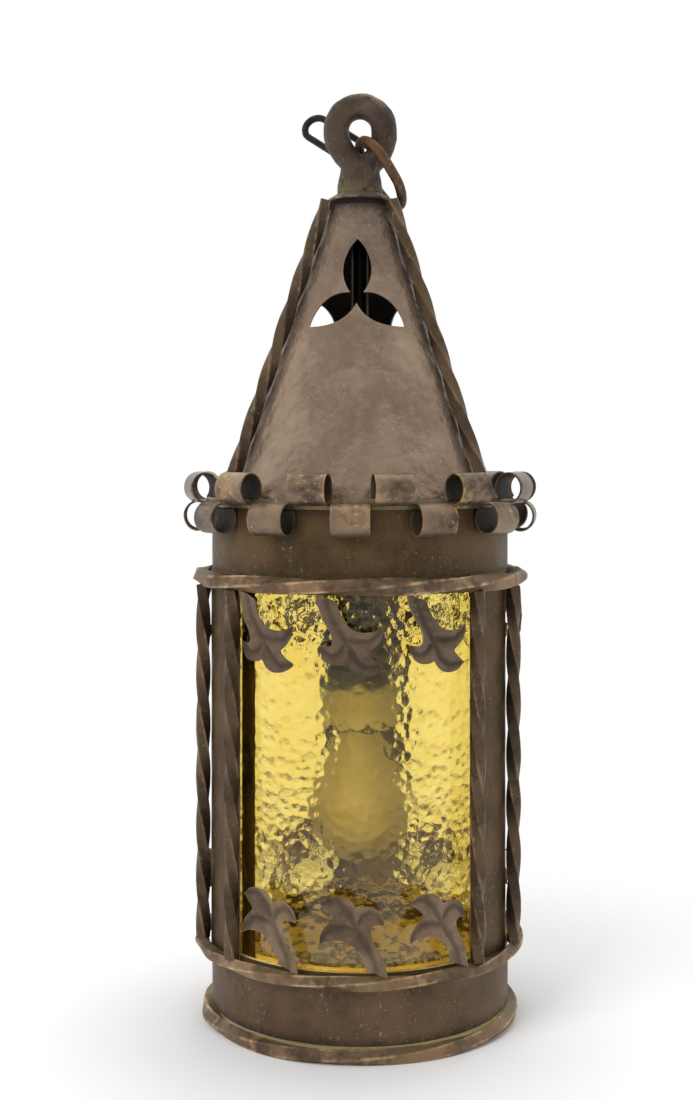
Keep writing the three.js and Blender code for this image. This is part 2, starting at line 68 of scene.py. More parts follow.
LOWER_RING_HEIGHT = 45 * MM
WINDOW_HEIGHT = 214 * MM
UPPER_RING_HEIGHT = LOWER_RING_HEIGHT + WINDOW_HEIGHT
LOWER_RING_TOP = LOWER_RING_HEIGHT + DIAGONAL * LOWER_RING_SIDE
UPPER_RING_UNDER = UPPER_RING_HEIGHT - DIAGONAL * UPPER_RING_SIDE
SILL_FOOT = LOWER_RING_HEIGHT + 1 * MM + FIT
SILL_INNER = BAND_RADIUS - 10.2 * MM
PANE_FOOT = SILL_FOOT + SHEET + FIT
PANE_TOP = UPPER_RING_UNDER + 2 * MM
PANE_THICKNESS = 3 * MM
PANE_RADIUS = BAND_RADIUS - SHEET - 2.5 * MM
WINDOW_ANGLE = 2 * math.pi / 3
PANE_WIDTH = WINDOW_ANGLE * PANE_RADIUS - 3 * MM
BAR_ANGLE = (POST_WIDTH / 2 - 0.4 * MM) / POST_RADIUS
LEAF_PITCH = (WINDOW_ANGLE - 2 * BAR_ANGLE - 6 * MM / WINDOW_BAR_RADIUS) / 3
LEAF_SHEET = 1.6 * MM
LEAF_HEAD_OFFSET = 11 * MM
LEAF_LEAN = 0.07
EAVE_HEIGHT = UPPER_RING_HEIGHT + 43.4 * MM
ROOF_FOOT_RADIUS = BAND_RADIUS - 6 * MM
ROOF_TOP_RADIUS = 17.8 * MM
FLANGE_FOOT = EAVE_HEIGHT + FIT
ROOF_FOOT = FLANGE_FOOT + SHEET + FIT
ROOF_HEIGHT = 175 * MM
ROOF_TOP = ROOF_FOOT + ROOF_HEIGHT
ROOF_SLOPE = math.atan2(ROOF_FOOT_RADIUS - ROOF_TOP_RADIUS, ROOF_HEIGHT)
TAB_ROOT_RADIUS = BAND_RADIUS + 3.3 * MM
TAB_COUNT = 26
TAB_SLIT = 0.5 * MM
ROLL_WIDTH = 16.2 * MM
ROLL_HEIGHT = 18 * MM
ROLL_ARC = 320
ROLL_CENTRE = BAND_RADIUS + 0.4 * MM + ROLL_WIDTH / 2
TREFOIL_HEIGHT = ROOF_FOOT + 118 * MM
TREFOIL_THROAT = 4.5
PETAL_REACH = (37, 31.6, 31.6)
PETAL_SWELL = 10.2
ROOF_BAR_FOOT = 15 * MM
ROOF_BAR_ABOVE = 2 * MM
BACK_BAR_SHORT = 6.5 * MM
CAP_RADIUS = ROOF_TOP_RADIUS + 1.3 * MM
CAP_FOOT = ROOF_TOP + FIT
CAP_TOP = CAP_FOOT + 7.2 * MM
NECK_FOOT = CAP_TOP + FIT
NECK_WIDTH = 26.6 * MM
NECK_DEPTH = 15.4 * MM
NECK_HEIGHT = 16 * MM
EYE_ROD = 14 * MM
EYE_RADIUS = 7.25 * MM + EYE_ROD / 2
EYE_HEIGHT = NECK_FOOT + 38.4 * MM
HANG_ROD = 6 * MM
HANG_PLACE = Vector((1 * MM, 0, EYE_HEIGHT - 7 * MM))
HANG_WIDTH = EYE_ROD + 12 * MM + HANG_ROD
HANG_LENGTH = 44 * MM
CHAIN_ROD = 4.2 * MM
CHAIN_WIDTH = HANG_ROD + 4.8 * MM + CHAIN_ROD
CHAIN_LENGTH = 50 * MM
PIPE_RADIUS = 5 * MM
PIPE_BORE = 3.5 * MM
PIPE_TOP = NECK_FOOT + 5.5 * MM
BORE_TOP = PIPE_TOP + FIT + 7 * MM
HOLDER_CAP_TOP = NECK_FOOT - 260.7 * MM
PIPE_FOOT = HOLDER_CAP_TOP - 6 * MM + FIT
HOLDER_TOP = HOLDER_CAP_TOP - 18 * MM - FIT
INSERT_FOOT = HOLDER_TOP - 16.4 * MM
HOLDER_FLOOR = INSERT_FOOT - FIT
BULB_CAP_RADIUS = 13.1 * MM
BULB_CAP_FOOT = HOLDER_FLOOR - 25 * MM
BULB_SEAT = BULB_CAP_FOOT - FIT
HOLDER_MOUTH = BULB_SEAT + 4 * MM
HOLDER_BORE = BULB_CAP_RADIUS + 0.8 * MM
INSERT_RADIUS = HOLDER_BORE + 3.1 * MM
HOLDER_RADIUS = INSERT_RADIUS + FIT + 5.2 * MM
HOLDER_COLLAR = 25 * MM
INSERT_HEIGHT = 8 * MM
NUT_HEIGHT = 5 * MM
NUT_WIDTH = 17 * MM
BULB_LENGTH = 76 * MM
BULB_RADIUS = 30 * MM
BULB_NECK = 12.4 * MM
BULB_SHOULDER = 105


# Workshop: selecting, shaping and handing over a piece
def leave_edit():
    if bpy.context.object and bpy.context.object.mode != "OBJECT":
        bpy.ops.object.mode_set(mode="OBJECT")


def take(piece):
    leave_edit()
    bpy.ops.object.select_all(action="DESELECT")
    piece.select_set(True)
    bpy.context.view_layer.objects.active = piece
    return piece


def claim(name):
    piece = bpy.context.object
    piece.name = name
    piece.data.name = name
    return piece


def settle(piece, place=(0, 0, 0), turn=(0, 0, 0)):
    """Moves and turns a piece, and puts its place into its mesh"""
    take(piece)
    piece.location = piece.location + Vector(place)
    piece.rotation_euler = turn
    bpy.ops.object.transform_apply(location=True, rotation=True, scale=True)
    return piece


def pick(piece, kind, test):
    """Goes into edit mode with the corners, edges or faces selected that pass the test"""
    take(piece)
    bpy.ops.object.mode_set(mode="EDIT")
    bpy.ops.mesh.select_mode(type=kind)
    bpy.ops.mesh.select_all(action="DESELECT")
    bpy.ops.object.mode_set(mode="OBJECT")
    mesh = piece.data
    corners = [v.co for v in mesh.vertices]
    if kind == "VERT":
        for v in mesh.vertices:
            v.select = bool(test(v.co))
    elif kind == "EDGE":
        for e in mesh.edges:
            e.select = bool(test(corners[e.vertices[0]], corners[e.vertices[1]]))
    else:
        for f in mesh.polygons:
            f.select = bool(test(f.center, f.normal))
    bpy.ops.object.mode_set(mode="EDIT")


def work(piece, kind, **settings):
    """Adds a modifier with its settings and applies it"""
    take(piece)
    modifier = piece.modifiers.new(kind.lower(), kind)
    for name, value in settings.items():
        setattr(modifier, name, value)
    bpy.ops.object.modifier_apply(modifier=modifier.name)
    return piece


def copied(piece, name):
    take(piece)
    bpy.ops.object.duplicate(linked=False)
    return settle(claim(name))


def joined(pieces, name):
    take(pieces[0])
    for piece in pieces[1:]:
        piece.select_set(True)
    bpy.ops.object.join()
    return claim(name)


def tidy_normals(piece):
    take(piece)
    bpy.ops.object.mode_set(mode="EDIT")
    bpy.ops.mesh.select_all(action="SELECT")
    bpy.ops.mesh.remove_doubles(threshold=0.01 * MM)
    bpy.ops.mesh.normals_make_consistent(inside=False)
    bpy.ops.object.mode_set(mode="OBJECT")
    return piece


def corners_of(piece):
    places = np.empty(len(piece.data.vertices) * 3, np.float32)
    piece.data.vertices.foreach_get("co", places)
    return places.reshape(-1, 3).astype(float)


def mark(piece, name, values):
    """Keeps one number for each corner of the mesh, which a finish reads by its name"""
    field = piece.data.attributes.get(name) or piece.data.attributes.new(name, "FLOAT", "POINT")
    field.data.foreach_set("value", np.clip(values, 0, 1).astype(np.float32))
    return piece


def mark_inner(piece, radius, depth=1.0):
    """Marks the side towards the lantern's axis for the finish's inside tone: painted shade on most pieces,
    painted light on the base band, sill and posts
    """
    places = corners_of(piece)
    return mark(piece, "inner", np.where(np.hypot(places[:, 0], places[:, 1]) < radius, depth, 0.0))


def mark_crease_shade(piece, away):
    """Painted shade where a piece lies close to what carries it"""
    return mark(piece, "inner", 0.9 * (1 - away / (2.6 * MM)))


def cut(piece, cutter):
    work(piece, "BOOLEAN", object=cutter, operation="DIFFERENCE", solver="EXACT")
    bpy.data.objects.remove(cutter)


def finished(piece, finish):
    piece.data.materials.clear()
    piece.data.materials.append(finish)


def hand_over(piece, nodes, finish, body="lantern", degrees=38):
    """The finished piece stands for its CAD nodes and moves with their body"""
    take(piece)
    bpy.ops.object.shade_smooth_by_angle(angle=math.radians(degrees))
    finished(piece, finish)
    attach(piece, body)
    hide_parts(*nodes)
    return piece


def drawn(name, points, closed=True, filled=False):
    """A line through points, as a mesh: edges only, or filled when it is flat"""
    bpy.ops.curve.primitive_nurbs_path_add()
    line = bpy.context.object
    line.data.dimensions = "2D" if filled else "3D"
    line.data.fill_mode = "BOTH" if filled else "FULL"
    line.data.splines.clear()
    spline = line.data.splines.new("POLY")
    spline.points.add(len(points) - 1)
    for knot, place in zip(spline.points, points):
        knot.co = (*place, 1)
    spline.use_cyclic_u = closed
    take(line)
    bpy.ops.object.convert(target="MESH")
    return claim(name)


def stepped(profile, step):
    """A closed profile of radius and height with points no further apart than the step"""
    points = []
    for (r, z), (next_r, next_z) in zip(profile, profile[1:] + profile[:1]):
        count = max(1, math.ceil(math.hypot(next_r - r, next_z - z) / step))
        points += [(r + (next_r - r) * i / count, z + (next_z - z) * i / count) for i in range(count)]
    return points


def spun(name, profile, steps, step=1.0, closed=True):
    """A profile of radius and height turned once round the lantern's axis"""
    points = stepped(profile, step) if closed else profile
    piece = drawn(name, [(r, 0, z) for r, z in points], closed)
    take(piece)
    bpy.ops.object.mode_set(mode="EDIT")
    bpy.ops.mesh.select_all(action="SELECT")
    bpy.ops.mesh.spin(steps=steps, angle=2 * math.pi, center=(0, 0, 0), axis=(0, 0, 1))
    return tidy_normals(piece)


def wrapped(piece, radius):
    """Bends a piece round the lantern: X becomes the way round, and -Y the way outwards"""
    across = corners_of(piece)[:, 0]
    work(piece, "SIMPLE_DEFORM", deform_method="BEND", deform_axis="Z", angle=np.ptp(across) / radius)
    return settle(piece, place=(0, -radius, 0))


def dented(piece, size, depth, seed=0.0):
    """Hand-made unevenness, by a soft cloud texture"""
    cloud = bpy.data.textures.new("unevenness", "CLOUDS")
    cloud.noise_scale = size
    cloud.noise_depth = 1
    settle(piece, place=(seed, 0, 0))
    work(piece, "DISPLACE", texture=cloud, strength=depth, mid_level=0.5, texture_coords="LOCAL")
    return settle(piece, place=(-seed, 0, 0))


# Finishes: sockets that take plain arithmetic, and the nodes they belong to
class Wire:
    def __init__(self, finish, socket):
        self.finish = finish
        self.socket = socket

    def calc(self, operation, first, second):
        return self.finish.node("Math", {"operation": operation}, {0: first, 1: second})

    def __add__(self, other):
        return self.calc("ADD", self, other)

    __radd__ = __add__

    def __sub__(self, other):
        return self.calc("SUBTRACT", self, other)

    def __rsub__(self, other):
        return self.calc("SUBTRACT", other, self)

    def __mul__(self, other):
        return self.calc("MULTIPLY", self, other)

    __rmul__ = __mul__

    def over(self, low, high):
        """0 below low, 1 above high, and a smooth rise between them"""
        limits = {"Value": self, "From Min": low, "From Max": high}
        return self.finish.node("MapRange", {"interpolation_type": "SMOOTHSTEP"}, limits)

    def other(self, name):
        return Wire(self.finish, self.socket.node.outputs[name])


class Finish:
    def __init__(self, name, owner=None):
        self.owner = owner or bpy.data.materials.new(name)
        self.owner.use_nodes = True
        self.tree = self.owner.node_tree
        self.tree.nodes.clear()

    def node(self, kind, settings=None, sockets=None, out=0):
        made = self.tree.nodes.new("ShaderNode" + kind)
        for name, value in (settings or {}).items():
            setattr(made, name, value)
        for name, value in (sockets or {}).items():
            if isinstance(name, int):
                target = made.inputs[name]
            else:
                target = next(s for s in made.inputs if name in (s.identifier, s.name) and s.enabled)
            if isinstance(value, Wire):
                self.tree.links.new(value.socket, target)
            else:
                target.default_value = value
        return Wire(self, made.outputs[out]) if made.outputs else None

    def place(self):
        return self.node("TexCoord", out="Object")

    def noise(self, scale, detail, vector=None):
        sockets = {"Vector": vector or self.place(), "Scale": scale, "Detail": detail, "Roughness": 0.55}
        return self.node("TexNoise", {}, sockets)

    def stretched(self, scale):
        return self.node("Mapping", {}, {"Vector": self.place(), "Scale": scale})

    def blend(self, share, first, second):
        sockets = {"Factor_Float": share, "A_Color": first, "B_Color": second}
        return self.node("Mix", {"data_type": "RGBA"}, sockets, out=2)

    def bump(self, height, depth):
        return self.node("Bump", {}, {"Height": height, "Distance": depth, "Strength": 1.0})

    def surface(self, sockets):
        shader = self.node("BsdfPrincipled", {}, sockets)
        self.node("OutputMaterial", {}, {"Surface": shader})
        return self.owner


def tone(red, green, blue):
    """A colour as a picture shows it, in the linear values a shader takes"""
    def linear(c):
        c = c / 255
        return c / 12.92 if c <= 0.04045 else ((c + 0.055) / 1.055) ** 2.4
    return (linear(red), linear(green), linear(blue), 1.0)


def patinated_copper(name, pale, deep, rub_and_highlight_tone, inside=None, dents=0.0, dent_size=60.0, streak=0.3,
                     dust_and_shade_tone=None, settled=0.5, fleck=0.3, gilt=0.0, buckled=0.0, rough=0.46):
    """Brown patina on hammered copper: mottled, scratched, scuffed along its edges and greyed where grit
    settles, with painted shade in its creases and hollows, painted light on some inner sides and painted
    highlights along leaf rims
    """
    finish = Finish(name)
    mottle = finish.noise(30, 5)
    patch = finish.noise(46, 3, finish.stretched((1, 1, 0.8)))
    grain = finish.noise(240, 4)
    speck = finish.noise(1500, 2)
    scratch = finish.noise(1.0, 2, finish.stretched((900, 900, 45)))
    cross = finish.noise(1.0, 2, finish.stretched((60, 60, 1100)))
    wear_and_highlight = finish.node("Attribute", {"attribute_name": "wear_and_highlight"}, out="Fac")
    dust_and_shade = finish.node("Attribute", {"attribute_name": "dust_and_shade"}, out="Fac")
    # inner: painted shade in hollows, creases and on inner sides; painted light where the inside tone is
    # pale, on the base band, sill and posts
    inner = finish.node("Attribute", {"attribute_name": "inner"}, out="Fac")
    cells = finish.node("TexVoronoi", {}, {"Vector": finish.place(), "Scale": dent_size})
    struck = finish.node("SeparateColor", {}, {"Color": cells.other("Color")})
    bowl = (1 - cells).over(0.45, 0.95) * struck.over(0.35, 0.6)
    colour = finish.blend(mottle.over(0.36, 0.64), deep, pale)
    colour = finish.blend(grain.over(0.35, 0.75) * 0.4, colour, pale)
    colour = finish.blend(speck.over(0.6, 0.75) * 0.5, colour, deep)
    facing = finish.node("SeparateXYZ", {}, {"Vector": finish.node("NewGeometry", out="Normal")}, out="Z")
    # Real dust on tops and in patches, and painted shade where the mark darkens the base band's foot and the
    # cone
    powder_and_shade = patch.over(0.52, 0.66) * 0.2 + dust_and_shade * 0.75 + facing.over(0.45, 0.95) * settled
    colour = finish.blend(powder_and_shade * grain.over(0.25, 0.55), colour, dust_and_shade_tone or tone(124, 114, 88))
    colour = finish.blend(patch.over(0.54, 0.64) * grain.over(0.3, 0.6) * gilt, colour, rub_and_highlight_tone)
    flecks = finish.noise(560, 3).over(0.62, 0.7) * patch.over(0.38, 0.58) * fleck
    colour = finish.blend(flecks, colour, tone(206, 190, 164))
    lines = scratch.over(0.68, 0.74) * streak + cross.over(0.7, 0.75) * streak * 0.7
    colour = finish.blend(lines * grain.over(0.45, 0.6), colour, rub_and_highlight_tone)
    # Scuffed edges, and on the leaves a painted highlight along the rims
    rub_and_highlight = wear_and_highlight.over(0.4, 1.0) * patch.over(0.42, 0.62) * grain.over(0.28, 0.6)
    colour = finish.blend(rub_and_highlight * 0.8, colour, rub_and_highlight_tone)
    # Painted shade, and painted light where the inside tone is pale, wherever the inner mark is set
    colour = finish.blend(inner, colour, inside or deep)
    buckle = finish.noise(100, 1.5) * mottle.over(0.38, 0.58) * buckled
    height = grain * 0.22 + speck * 0.05 - bowl * dents - lines * 0.1 + buckle
    return finish.surface({
        "Base Color": colour,
        "Roughness": rough + grain * 0.18 - rub_and_highlight * 0.18 - bowl * 0.05 + inner * 0.4,
        "Metallic": 0.55 - inner * 0.5,
        "Normal": finish.bump(height, 0.0009),
    })


def bent_glass(name):
    """Amber glass, smooth outside and pebbled on its inner face"""
    finish = Finish(name)
    place = finish.place()
    level = finish.node("VectorMath", {"operation": "MULTIPLY"}, {0: place, 1: (1, 1, 0)})
    radius = finish.node("VectorMath", {"operation": "LENGTH"}, {0: level}, out="Value")
    inner = 1 - radius.over(PANE_RADIUS - 0.6 * PANE_THICKNESS, PANE_RADIUS - 0.3 * PANE_THICKNESS)
    cells = {"Vector": place, "Scale": 190, "Smoothness": 0.6}
    pebble = finish.node("TexVoronoi", {"feature": "SMOOTH_F1"}, cells)
    swell = finish.noise(70, 2, place)
    ripple = finish.noise(330, 2, place)
    rise = finish.node("SeparateXYZ", {}, {"Vector": place}, out="Z")
    uneven = (pebble * 0.9 + swell * 0.9 + ripple * 0.35) * (1 + rise.over(0.2, 0.24) * 0.9)
    height = uneven * inner + swell * 0.04
    colour = finish.blend(swell.over(0.3, 0.75), tone(254, 241, 176), tone(252, 233, 156))
    return finish.surface({
        "Base Color": colour,
        "Roughness": 0.02 + inner * 0.1,
        "IOR": 1.5,
        "Transmission Weight": 1.0,
        "Normal": finish.bump(height, 0.0006),
    })


def brass(name, dull, bright, bare):
    finish = Finish(name)
    mottle = finish.noise(90, 4)
    grain = finish.noise(700, 3)
    thread = finish.node("Attribute", {"attribute_name": "wear_and_highlight"}, out="Fac")
    colour = finish.blend(mottle.over(0.3, 0.7), dull, bright)
    colour = finish.blend(thread * grain.over(0.3, 0.7), colour, bare)
    return finish.surface({
        "Base Color": colour,
        "Metallic": 0.9,
        "Roughness": 0.34 + grain * 0.2,
        "Normal": finish.bump(grain, 0.00015),
    })


def moulded(name, body, edge, rough):
    finish = Finish(name)
    mottle = finish.noise(60, 4)
    grain = finish.noise(900, 2)
    collar = finish.node("Attribute", {"attribute_name": "collar"}, out="Fac")
    colour = finish.blend(mottle.over(0.3, 0.7), body, edge)
    colour = finish.blend(collar, colour, tone(212, 202, 172))
    return finish.surface({
        "Base Color": colour,
        "Roughness": rough + grain * 0.15,
        "Normal": finish.bump(grain + mottle, 0.0001),
    })


def frosted_bulb(name):
    finish = Finish(name)
    cloud = finish.noise(45, 3)
    grain = finish.noise(1600, 2)
    colour = finish.blend(cloud, tone(206, 192, 148), tone(216, 204, 162))
    return finish.surface({
        "Base Color": colour,
        "Roughness": 0.42 + grain * 0.12,
        "Transmission Weight": 0.15,
        "Normal": finish.bump(grain, 0.00008),
    })


# Painted shade: the dark tone laid on inner sides, creases, rolls and undercuts where shade falls
PAINTED_SHADE = tone(34, 28, 23)
# Its dark tone is painted shade on the cone beside the roof bars and below the cap
SHEET_COPPER = patinated_copper(
    "sheet_copper", tone(159, 136, 115), tone(132, 111, 94), tone(198, 172, 140), PAINTED_SHADE, dents=0.9,
    dent_size=62, streak=0.7, dust_and_shade_tone=tone(86, 77, 69), settled=0.0, buckled=2.2,
    rough=0.33)
BAND_COPPER = patinated_copper(
    "band_copper", tone(103, 80, 50), tone(74, 55, 33), tone(150, 116, 78), PAINTED_SHADE, dents=0.3, dent_size=46,
    dust_and_shade_tone=tone(88, 76, 52))
# Post finish: its pale inside tone is painted light on the lower inner sides
POST_COPPER = patinated_copper(
    "post_copper", tone(103, 80, 50), tone(74, 55, 33), tone(150, 116, 78), tone(186, 162, 112), dents=0.3,
    dent_size=46, dust_and_shade_tone=tone(88, 76, 52))
# Base finish: its pale inside tone is painted light on the inner sides, its near-black tone painted shade
# along the band's foot
BASE_COPPER = patinated_copper(
    "base_copper", tone(108, 85, 62), tone(82, 63, 46), tone(158, 122, 88), tone(250, 226, 168), dents=0.3,
    dent_size=46, dust_and_shade_tone=tone(34, 28, 23))
BAR_COPPER = patinated_copper(
    "bar_copper", tone(102, 82, 61), tone(68, 54, 40), tone(148, 120, 92), PAINTED_SHADE, dents=0.3, dent_size=120,
    settled=0.2)
RING_COPPER = patinated_copper(
    "ring_copper", tone(146, 118, 89), tone(84, 67, 50), tone(212, 174, 130), PAINTED_SHADE, dents=0.4, dent_size=110,
    dust_and_shade_tone=tone(128, 115, 92), settled=0.45, gilt=0.3)
LEAF_COPPER = patinated_copper(
    "leaf_copper", tone(148, 124, 101), tone(98, 81, 66), tone(210, 180, 152), tone(50, 41, 34), dents=0.15,
    dent_size=150, settled=0.2)
SHADED_LEAF = patinated_copper(
    "shaded_leaf_copper", tone(128, 107, 87), tone(84, 70, 57), tone(186, 160, 138), tone(42, 35, 30),
    dents=0.15, dent_size=150, settled=0.2)
CURL_COPPER = patinated_copper(
    "curl_copper", tone(152, 127, 104), tone(74, 59, 47), tone(190, 152, 100), PAINTED_SHADE, dents=0.3, dent_size=90,
    dust_and_shade_tone=tone(142, 130, 94), settled=0.08, fleck=0.9, gilt=0.45, rough=0.24)
CAP_COPPER = patinated_copper(
    "cap_copper", tone(120, 104, 88), tone(76, 64, 54), tone(186, 166, 136), PAINTED_SHADE, dents=0.5, dent_size=130,
    settled=0.2, fleck=0.6)
EYE_COPPER = patinated_copper(
    "eye_copper", tone(90, 74, 62), tone(58, 48, 41), tone(128, 108, 92), PAINTED_SHADE, dents=0.5, dent_size=130)
LINK_COPPER = patinated_copper(
    "link_copper", tone(116, 82, 56), tone(66, 49, 36), tone(168, 116, 76), dents=0.2, dent_size=200)
BLACK_IRON = patinated_copper(
    "black_iron", tone(52, 50, 48), tone(30, 29, 28), tone(96, 92, 88), dents=0.2, dent_size=200)
AMBER = bent_glass("amber_glass")
BRASS = brass("brass_fittings", tone(58, 45, 26), tone(92, 72, 40), tone(140, 114, 66))
DARK_BRASS = brass("smoked_brass", tone(22, 18, 14), tone(34, 28, 20), tone(50, 40, 28))
SHELL = moulded("holder_shell", tone(44, 32, 24), tone(58, 42, 30), 0.4)
PORCELAIN = moulded("holder_insert", tone(222, 216, 202), tone(232, 227, 214), 0.22)
BULB_GLASS = frosted_bulb("bulb_glass")


# Twisted square bar, straight and bent to rings
def square_bar(name, side, length, start, turns=None):
    """A bar along X with eased corners, twisted to the left by a number of quarter turns"""
    bpy.ops.mesh.primitive_cube_add(size=1, scale=(length, side, side))
    bar = settle(claim(name))
    pick(bar, "EDGE", lambda a, b: abs(a.x - b.x) > length / 2)
    bpy.ops.mesh.bevel(offset=0.07 * side, segments=3, affect="EDGES")
    pick(bar, "EDGE", lambda a, b: (a - b).length > side / 2 and abs(a.x - b.x) < side / 9)
    bpy.ops.mesh.subdivide(number_cuts=3)
    parts = max(2, round(math.sqrt(length / (QUARTER_TURN / 12))))
    for _ in range(2):
        pick(bar, "EDGE", lambda a, b: abs(a.x - b.x) > 1e-4 and (a - b).length - abs(a.x - b.x) < 1e-6)
        bpy.ops.mesh.subdivide(number_cuts=parts - 1)
    leave_edit()
    places = corners_of(bar)
    mark(bar, "wear_and_highlight", (np.hypot(places[:, 1], places[:, 2]) / (side / 2) - 1.02) / 0.28)
    settle(bar, turn=(start, 0, 0))
    turns = turns or length / QUARTER_TURN
    return work(bar, "SIMPLE_DEFORM", deform_method="TWIST", deform_axis="X", angle=-turns * math.pi / 2)


def twisted_ring(name, side, radius, height, joint, turns):
    bar = square_bar(name, side, 2 * math.pi * radius - FIT, math.pi / 4, turns)
    dented(bar, 0.022, 0.0009, radius)
    wrapped(bar, radius)
    settle(bar, place=(0, 0, height))
    return settle(bar, turn=(0, 0, math.radians(joint + 180)))


def build_rings():
    rings = (
        ("foot", FOOT_RING_SIDE, FOOT_RING_RADIUS, FOOT_RING_HEIGHT, 180, 6),
        ("lower", LOWER_RING_SIDE, LOWER_RING_RADIUS, LOWER_RING_HEIGHT, 176, 10),
        ("upper", UPPER_RING_SIDE, UPPER_RING_RADIUS, UPPER_RING_HEIGHT, 68, 9),
    )
    for name, side, radius, height, joint, turns in rings:
        ring = twisted_ring(f"twisted_{name}_ring", side, radius, height, joint, turns)
        if name == "foot":
            pick(ring, "FACE", lambda centre, normal: True)
            bpy.ops.mesh.bisect(plane_co=(0, 0, 0), plane_no=(0, 0, 1), use_fill=True, clear_inner=True)
            leave_edit()
        hand_over(ring, [f"{name}_ring"], RING_COPPER)


def build_bars():
    foot = LOWER_RING_TOP + FIT
    length = UPPER_RING_UNDER - FIT - foot
    for i in range(3):
        corner = (i + 0.5) * WINDOW_ANGLE
        for k, side in enumerate((-1, 1)):
            number = 2 * i + k + 1
            bar = square_bar(f"twisted_window_bar_{number}", BAR_SIDE, length + 2.4 * MM, 0)
            dented(bar, 0.014, 0.00035, 0.3 * number)
            settle(bar, turn=(0, -math.pi / 2, 0))
            around = side * BAR_ANGLE
            across, out = WINDOW_BAR_RADIUS * math.sin(around), WINDOW_BAR_RADIUS * math.cos(around)
            settle(bar, place=(across, -out, foot + length / 2))
            settle(bar, turn=(0, 0, corner))
            places = corners_of(bar)
            # Painted shade on the bar where it lies close to the post
            mark_crease_shade(bar, np.hypot(places[:, 0], places[:, 1]) - POST_RADIUS)
            hand_over(bar, [f"window_bar_{number}"], BAR_COPPER)

    for i in range(3):
        rise = ROOF_HEIGHT - ROOF_BAR_FOOT + ROOF_BAR_ABOVE - (BACK_BAR_SHORT if i == 1 else 0)
        middle = ROOF_FOOT + ROOF_BAR_FOOT + rise / 2
        out = cone_radius(middle) + (DIAGONAL * BAR_SIDE + FIT) / math.cos(ROOF_SLOPE)
        bar = square_bar(f"twisted_roof_bar_{i + 1}", BAR_SIDE, rise / math.cos(ROOF_SLOPE), math.pi / 4)
        dented(bar, 0.014, 0.00035, 0.4 * i)
        settle(bar, turn=(0, -math.pi / 2, 0))
        settle(bar, turn=(-ROOF_SLOPE, 0, 0))
        settle(bar, place=(0, -out, middle))
        settle(bar, turn=(0, 0, (i + 0.5) * WINDOW_ANGLE))
        places = corners_of(bar)
        # Painted shade on the bar where it lies close to the cone
        mark_crease_shade(bar, np.hypot(places[:, 0], places[:, 1]) - cone_radius(places[:, 2]))
        hand_over(bar, [f"roof_bar_{i + 1}"], BAR_COPPER)


# Sheet bands, sill, posts and panes
def band_profile(bottom, top, inner, outer):
    ease = 0.25 * (outer - inner)
    return [
        (inner, bottom + ease), (inner + ease, bottom), (outer - ease, bottom), (outer, bottom + ease),
        (outer, top - ease), (outer - ease, top), (inner + ease, top), (inner, top - ease),
    ]


def build_bands():
    sill_height = LOWER_RING_HEIGHT + 1 * MM
    inner = BAND_RADIUS - SHEET
    section = band_profile(FOOT_RING_TOP + FIT, sill_height, inner, BAND_RADIUS)
    base = spun("hammered_base_band", section, 180, 2.5 * MM)
    dented(base, 0.02, 0.0003)
    height = corners_of(base)[:, 2]
    # Painted shade along the band's foot above the foot ring, and painted light on the lower inner side
    mark(base, "dust_and_shade", 1 - (height - FOOT_RING_TOP) / (6 * MM))
    mark_inner(base, BAND_RADIUS - SHEET / 2, (32 * MM - height) / (8 * MM))
    hand_over(base, ["base_band"], BASE_COPPER)
    section = band_profile(UPPER_RING_UNDER, EAVE_HEIGHT, inner, BAND_RADIUS)
    drum = spun("hammered_drum_band", section, 180, 2.5 * MM)
    dented(drum, 0.02, 0.0003)
    height = corners_of(drum)[:, 2]
    mark(drum, "dust_and_shade", 1 - (height - UPPER_RING_HEIGHT - 4 * MM) / (7 * MM))
    # Painted shade on the drum's inner side
    mark_inner(drum, BAND_RADIUS - SHEET / 2)
    hand_over(drum, ["drum_band"], BAND_COPPER)
    section = band_profile(SILL_FOOT, SILL_FOOT + SHEET, SILL_INNER, BAND_RADIUS)
    sill = spun("sill_plate", section, 180, 2.5 * MM)
    # Painted light on the sill's inner part
    mark_inner(sill, BAND_RADIUS - SHEET)
    hand_over(sill, ["sill_ring"], BASE_COPPER)


def curved_sheet(name, width, height, thickness, columns, rows):
    """A flat sheet with its outer face on Y = 0 and eased edges, ready to be bent"""
    bpy.ops.mesh.primitive_cube_add(size=1, scale=(width, thickness, height))
    piece = settle(claim(name), place=(0, thickness / 2, height / 2))
    work(piece, "BEVEL", width=0.25 * thickness, segments=2)
    pick(piece, "EDGE", lambda a, b: abs(a.x - b.x) > width / 2)
    bpy.ops.mesh.subdivide(number_cuts=columns)
    pick(piece, "EDGE", lambda a, b: abs(a.z - b.z) > height / 2)
    bpy.ops.mesh.subdivide(number_cuts=rows)
    leave_edit()
    return piece


def build_posts():
    foot = LOWER_RING_HEIGHT - DIAGONAL * LOWER_RING_SIDE
    height = UPPER_RING_HEIGHT + DIAGONAL * UPPER_RING_SIDE - foot
    for i in range(3):
        post = curved_sheet(f"hammered_post_{i + 1}", POST_WIDTH, height, SHEET, 16, 80)
        dented(post, 0.018, 0.0003, 0.5 * i)
        across = np.abs(corners_of(post)[:, 0])
        mark(post, "wear_and_highlight", (across - POST_WIDTH / 2 + 1.5 * MM) / (1.5 * MM))
        wrapped(post, POST_RADIUS)
        settle(post, place=(0, 0, foot))
        settle(post, turn=(0, 0, (i + 0.5) * WINDOW_ANGLE))
        # Painted light on the lower part of the post's inner side
        mark_inner(post, POST_RADIUS - SHEET / 2, (140 * MM - corners_of(post)[:, 2]) / (60 * MM))
        hand_over(post, [f"post_{i + 1}"], POST_COPPER)


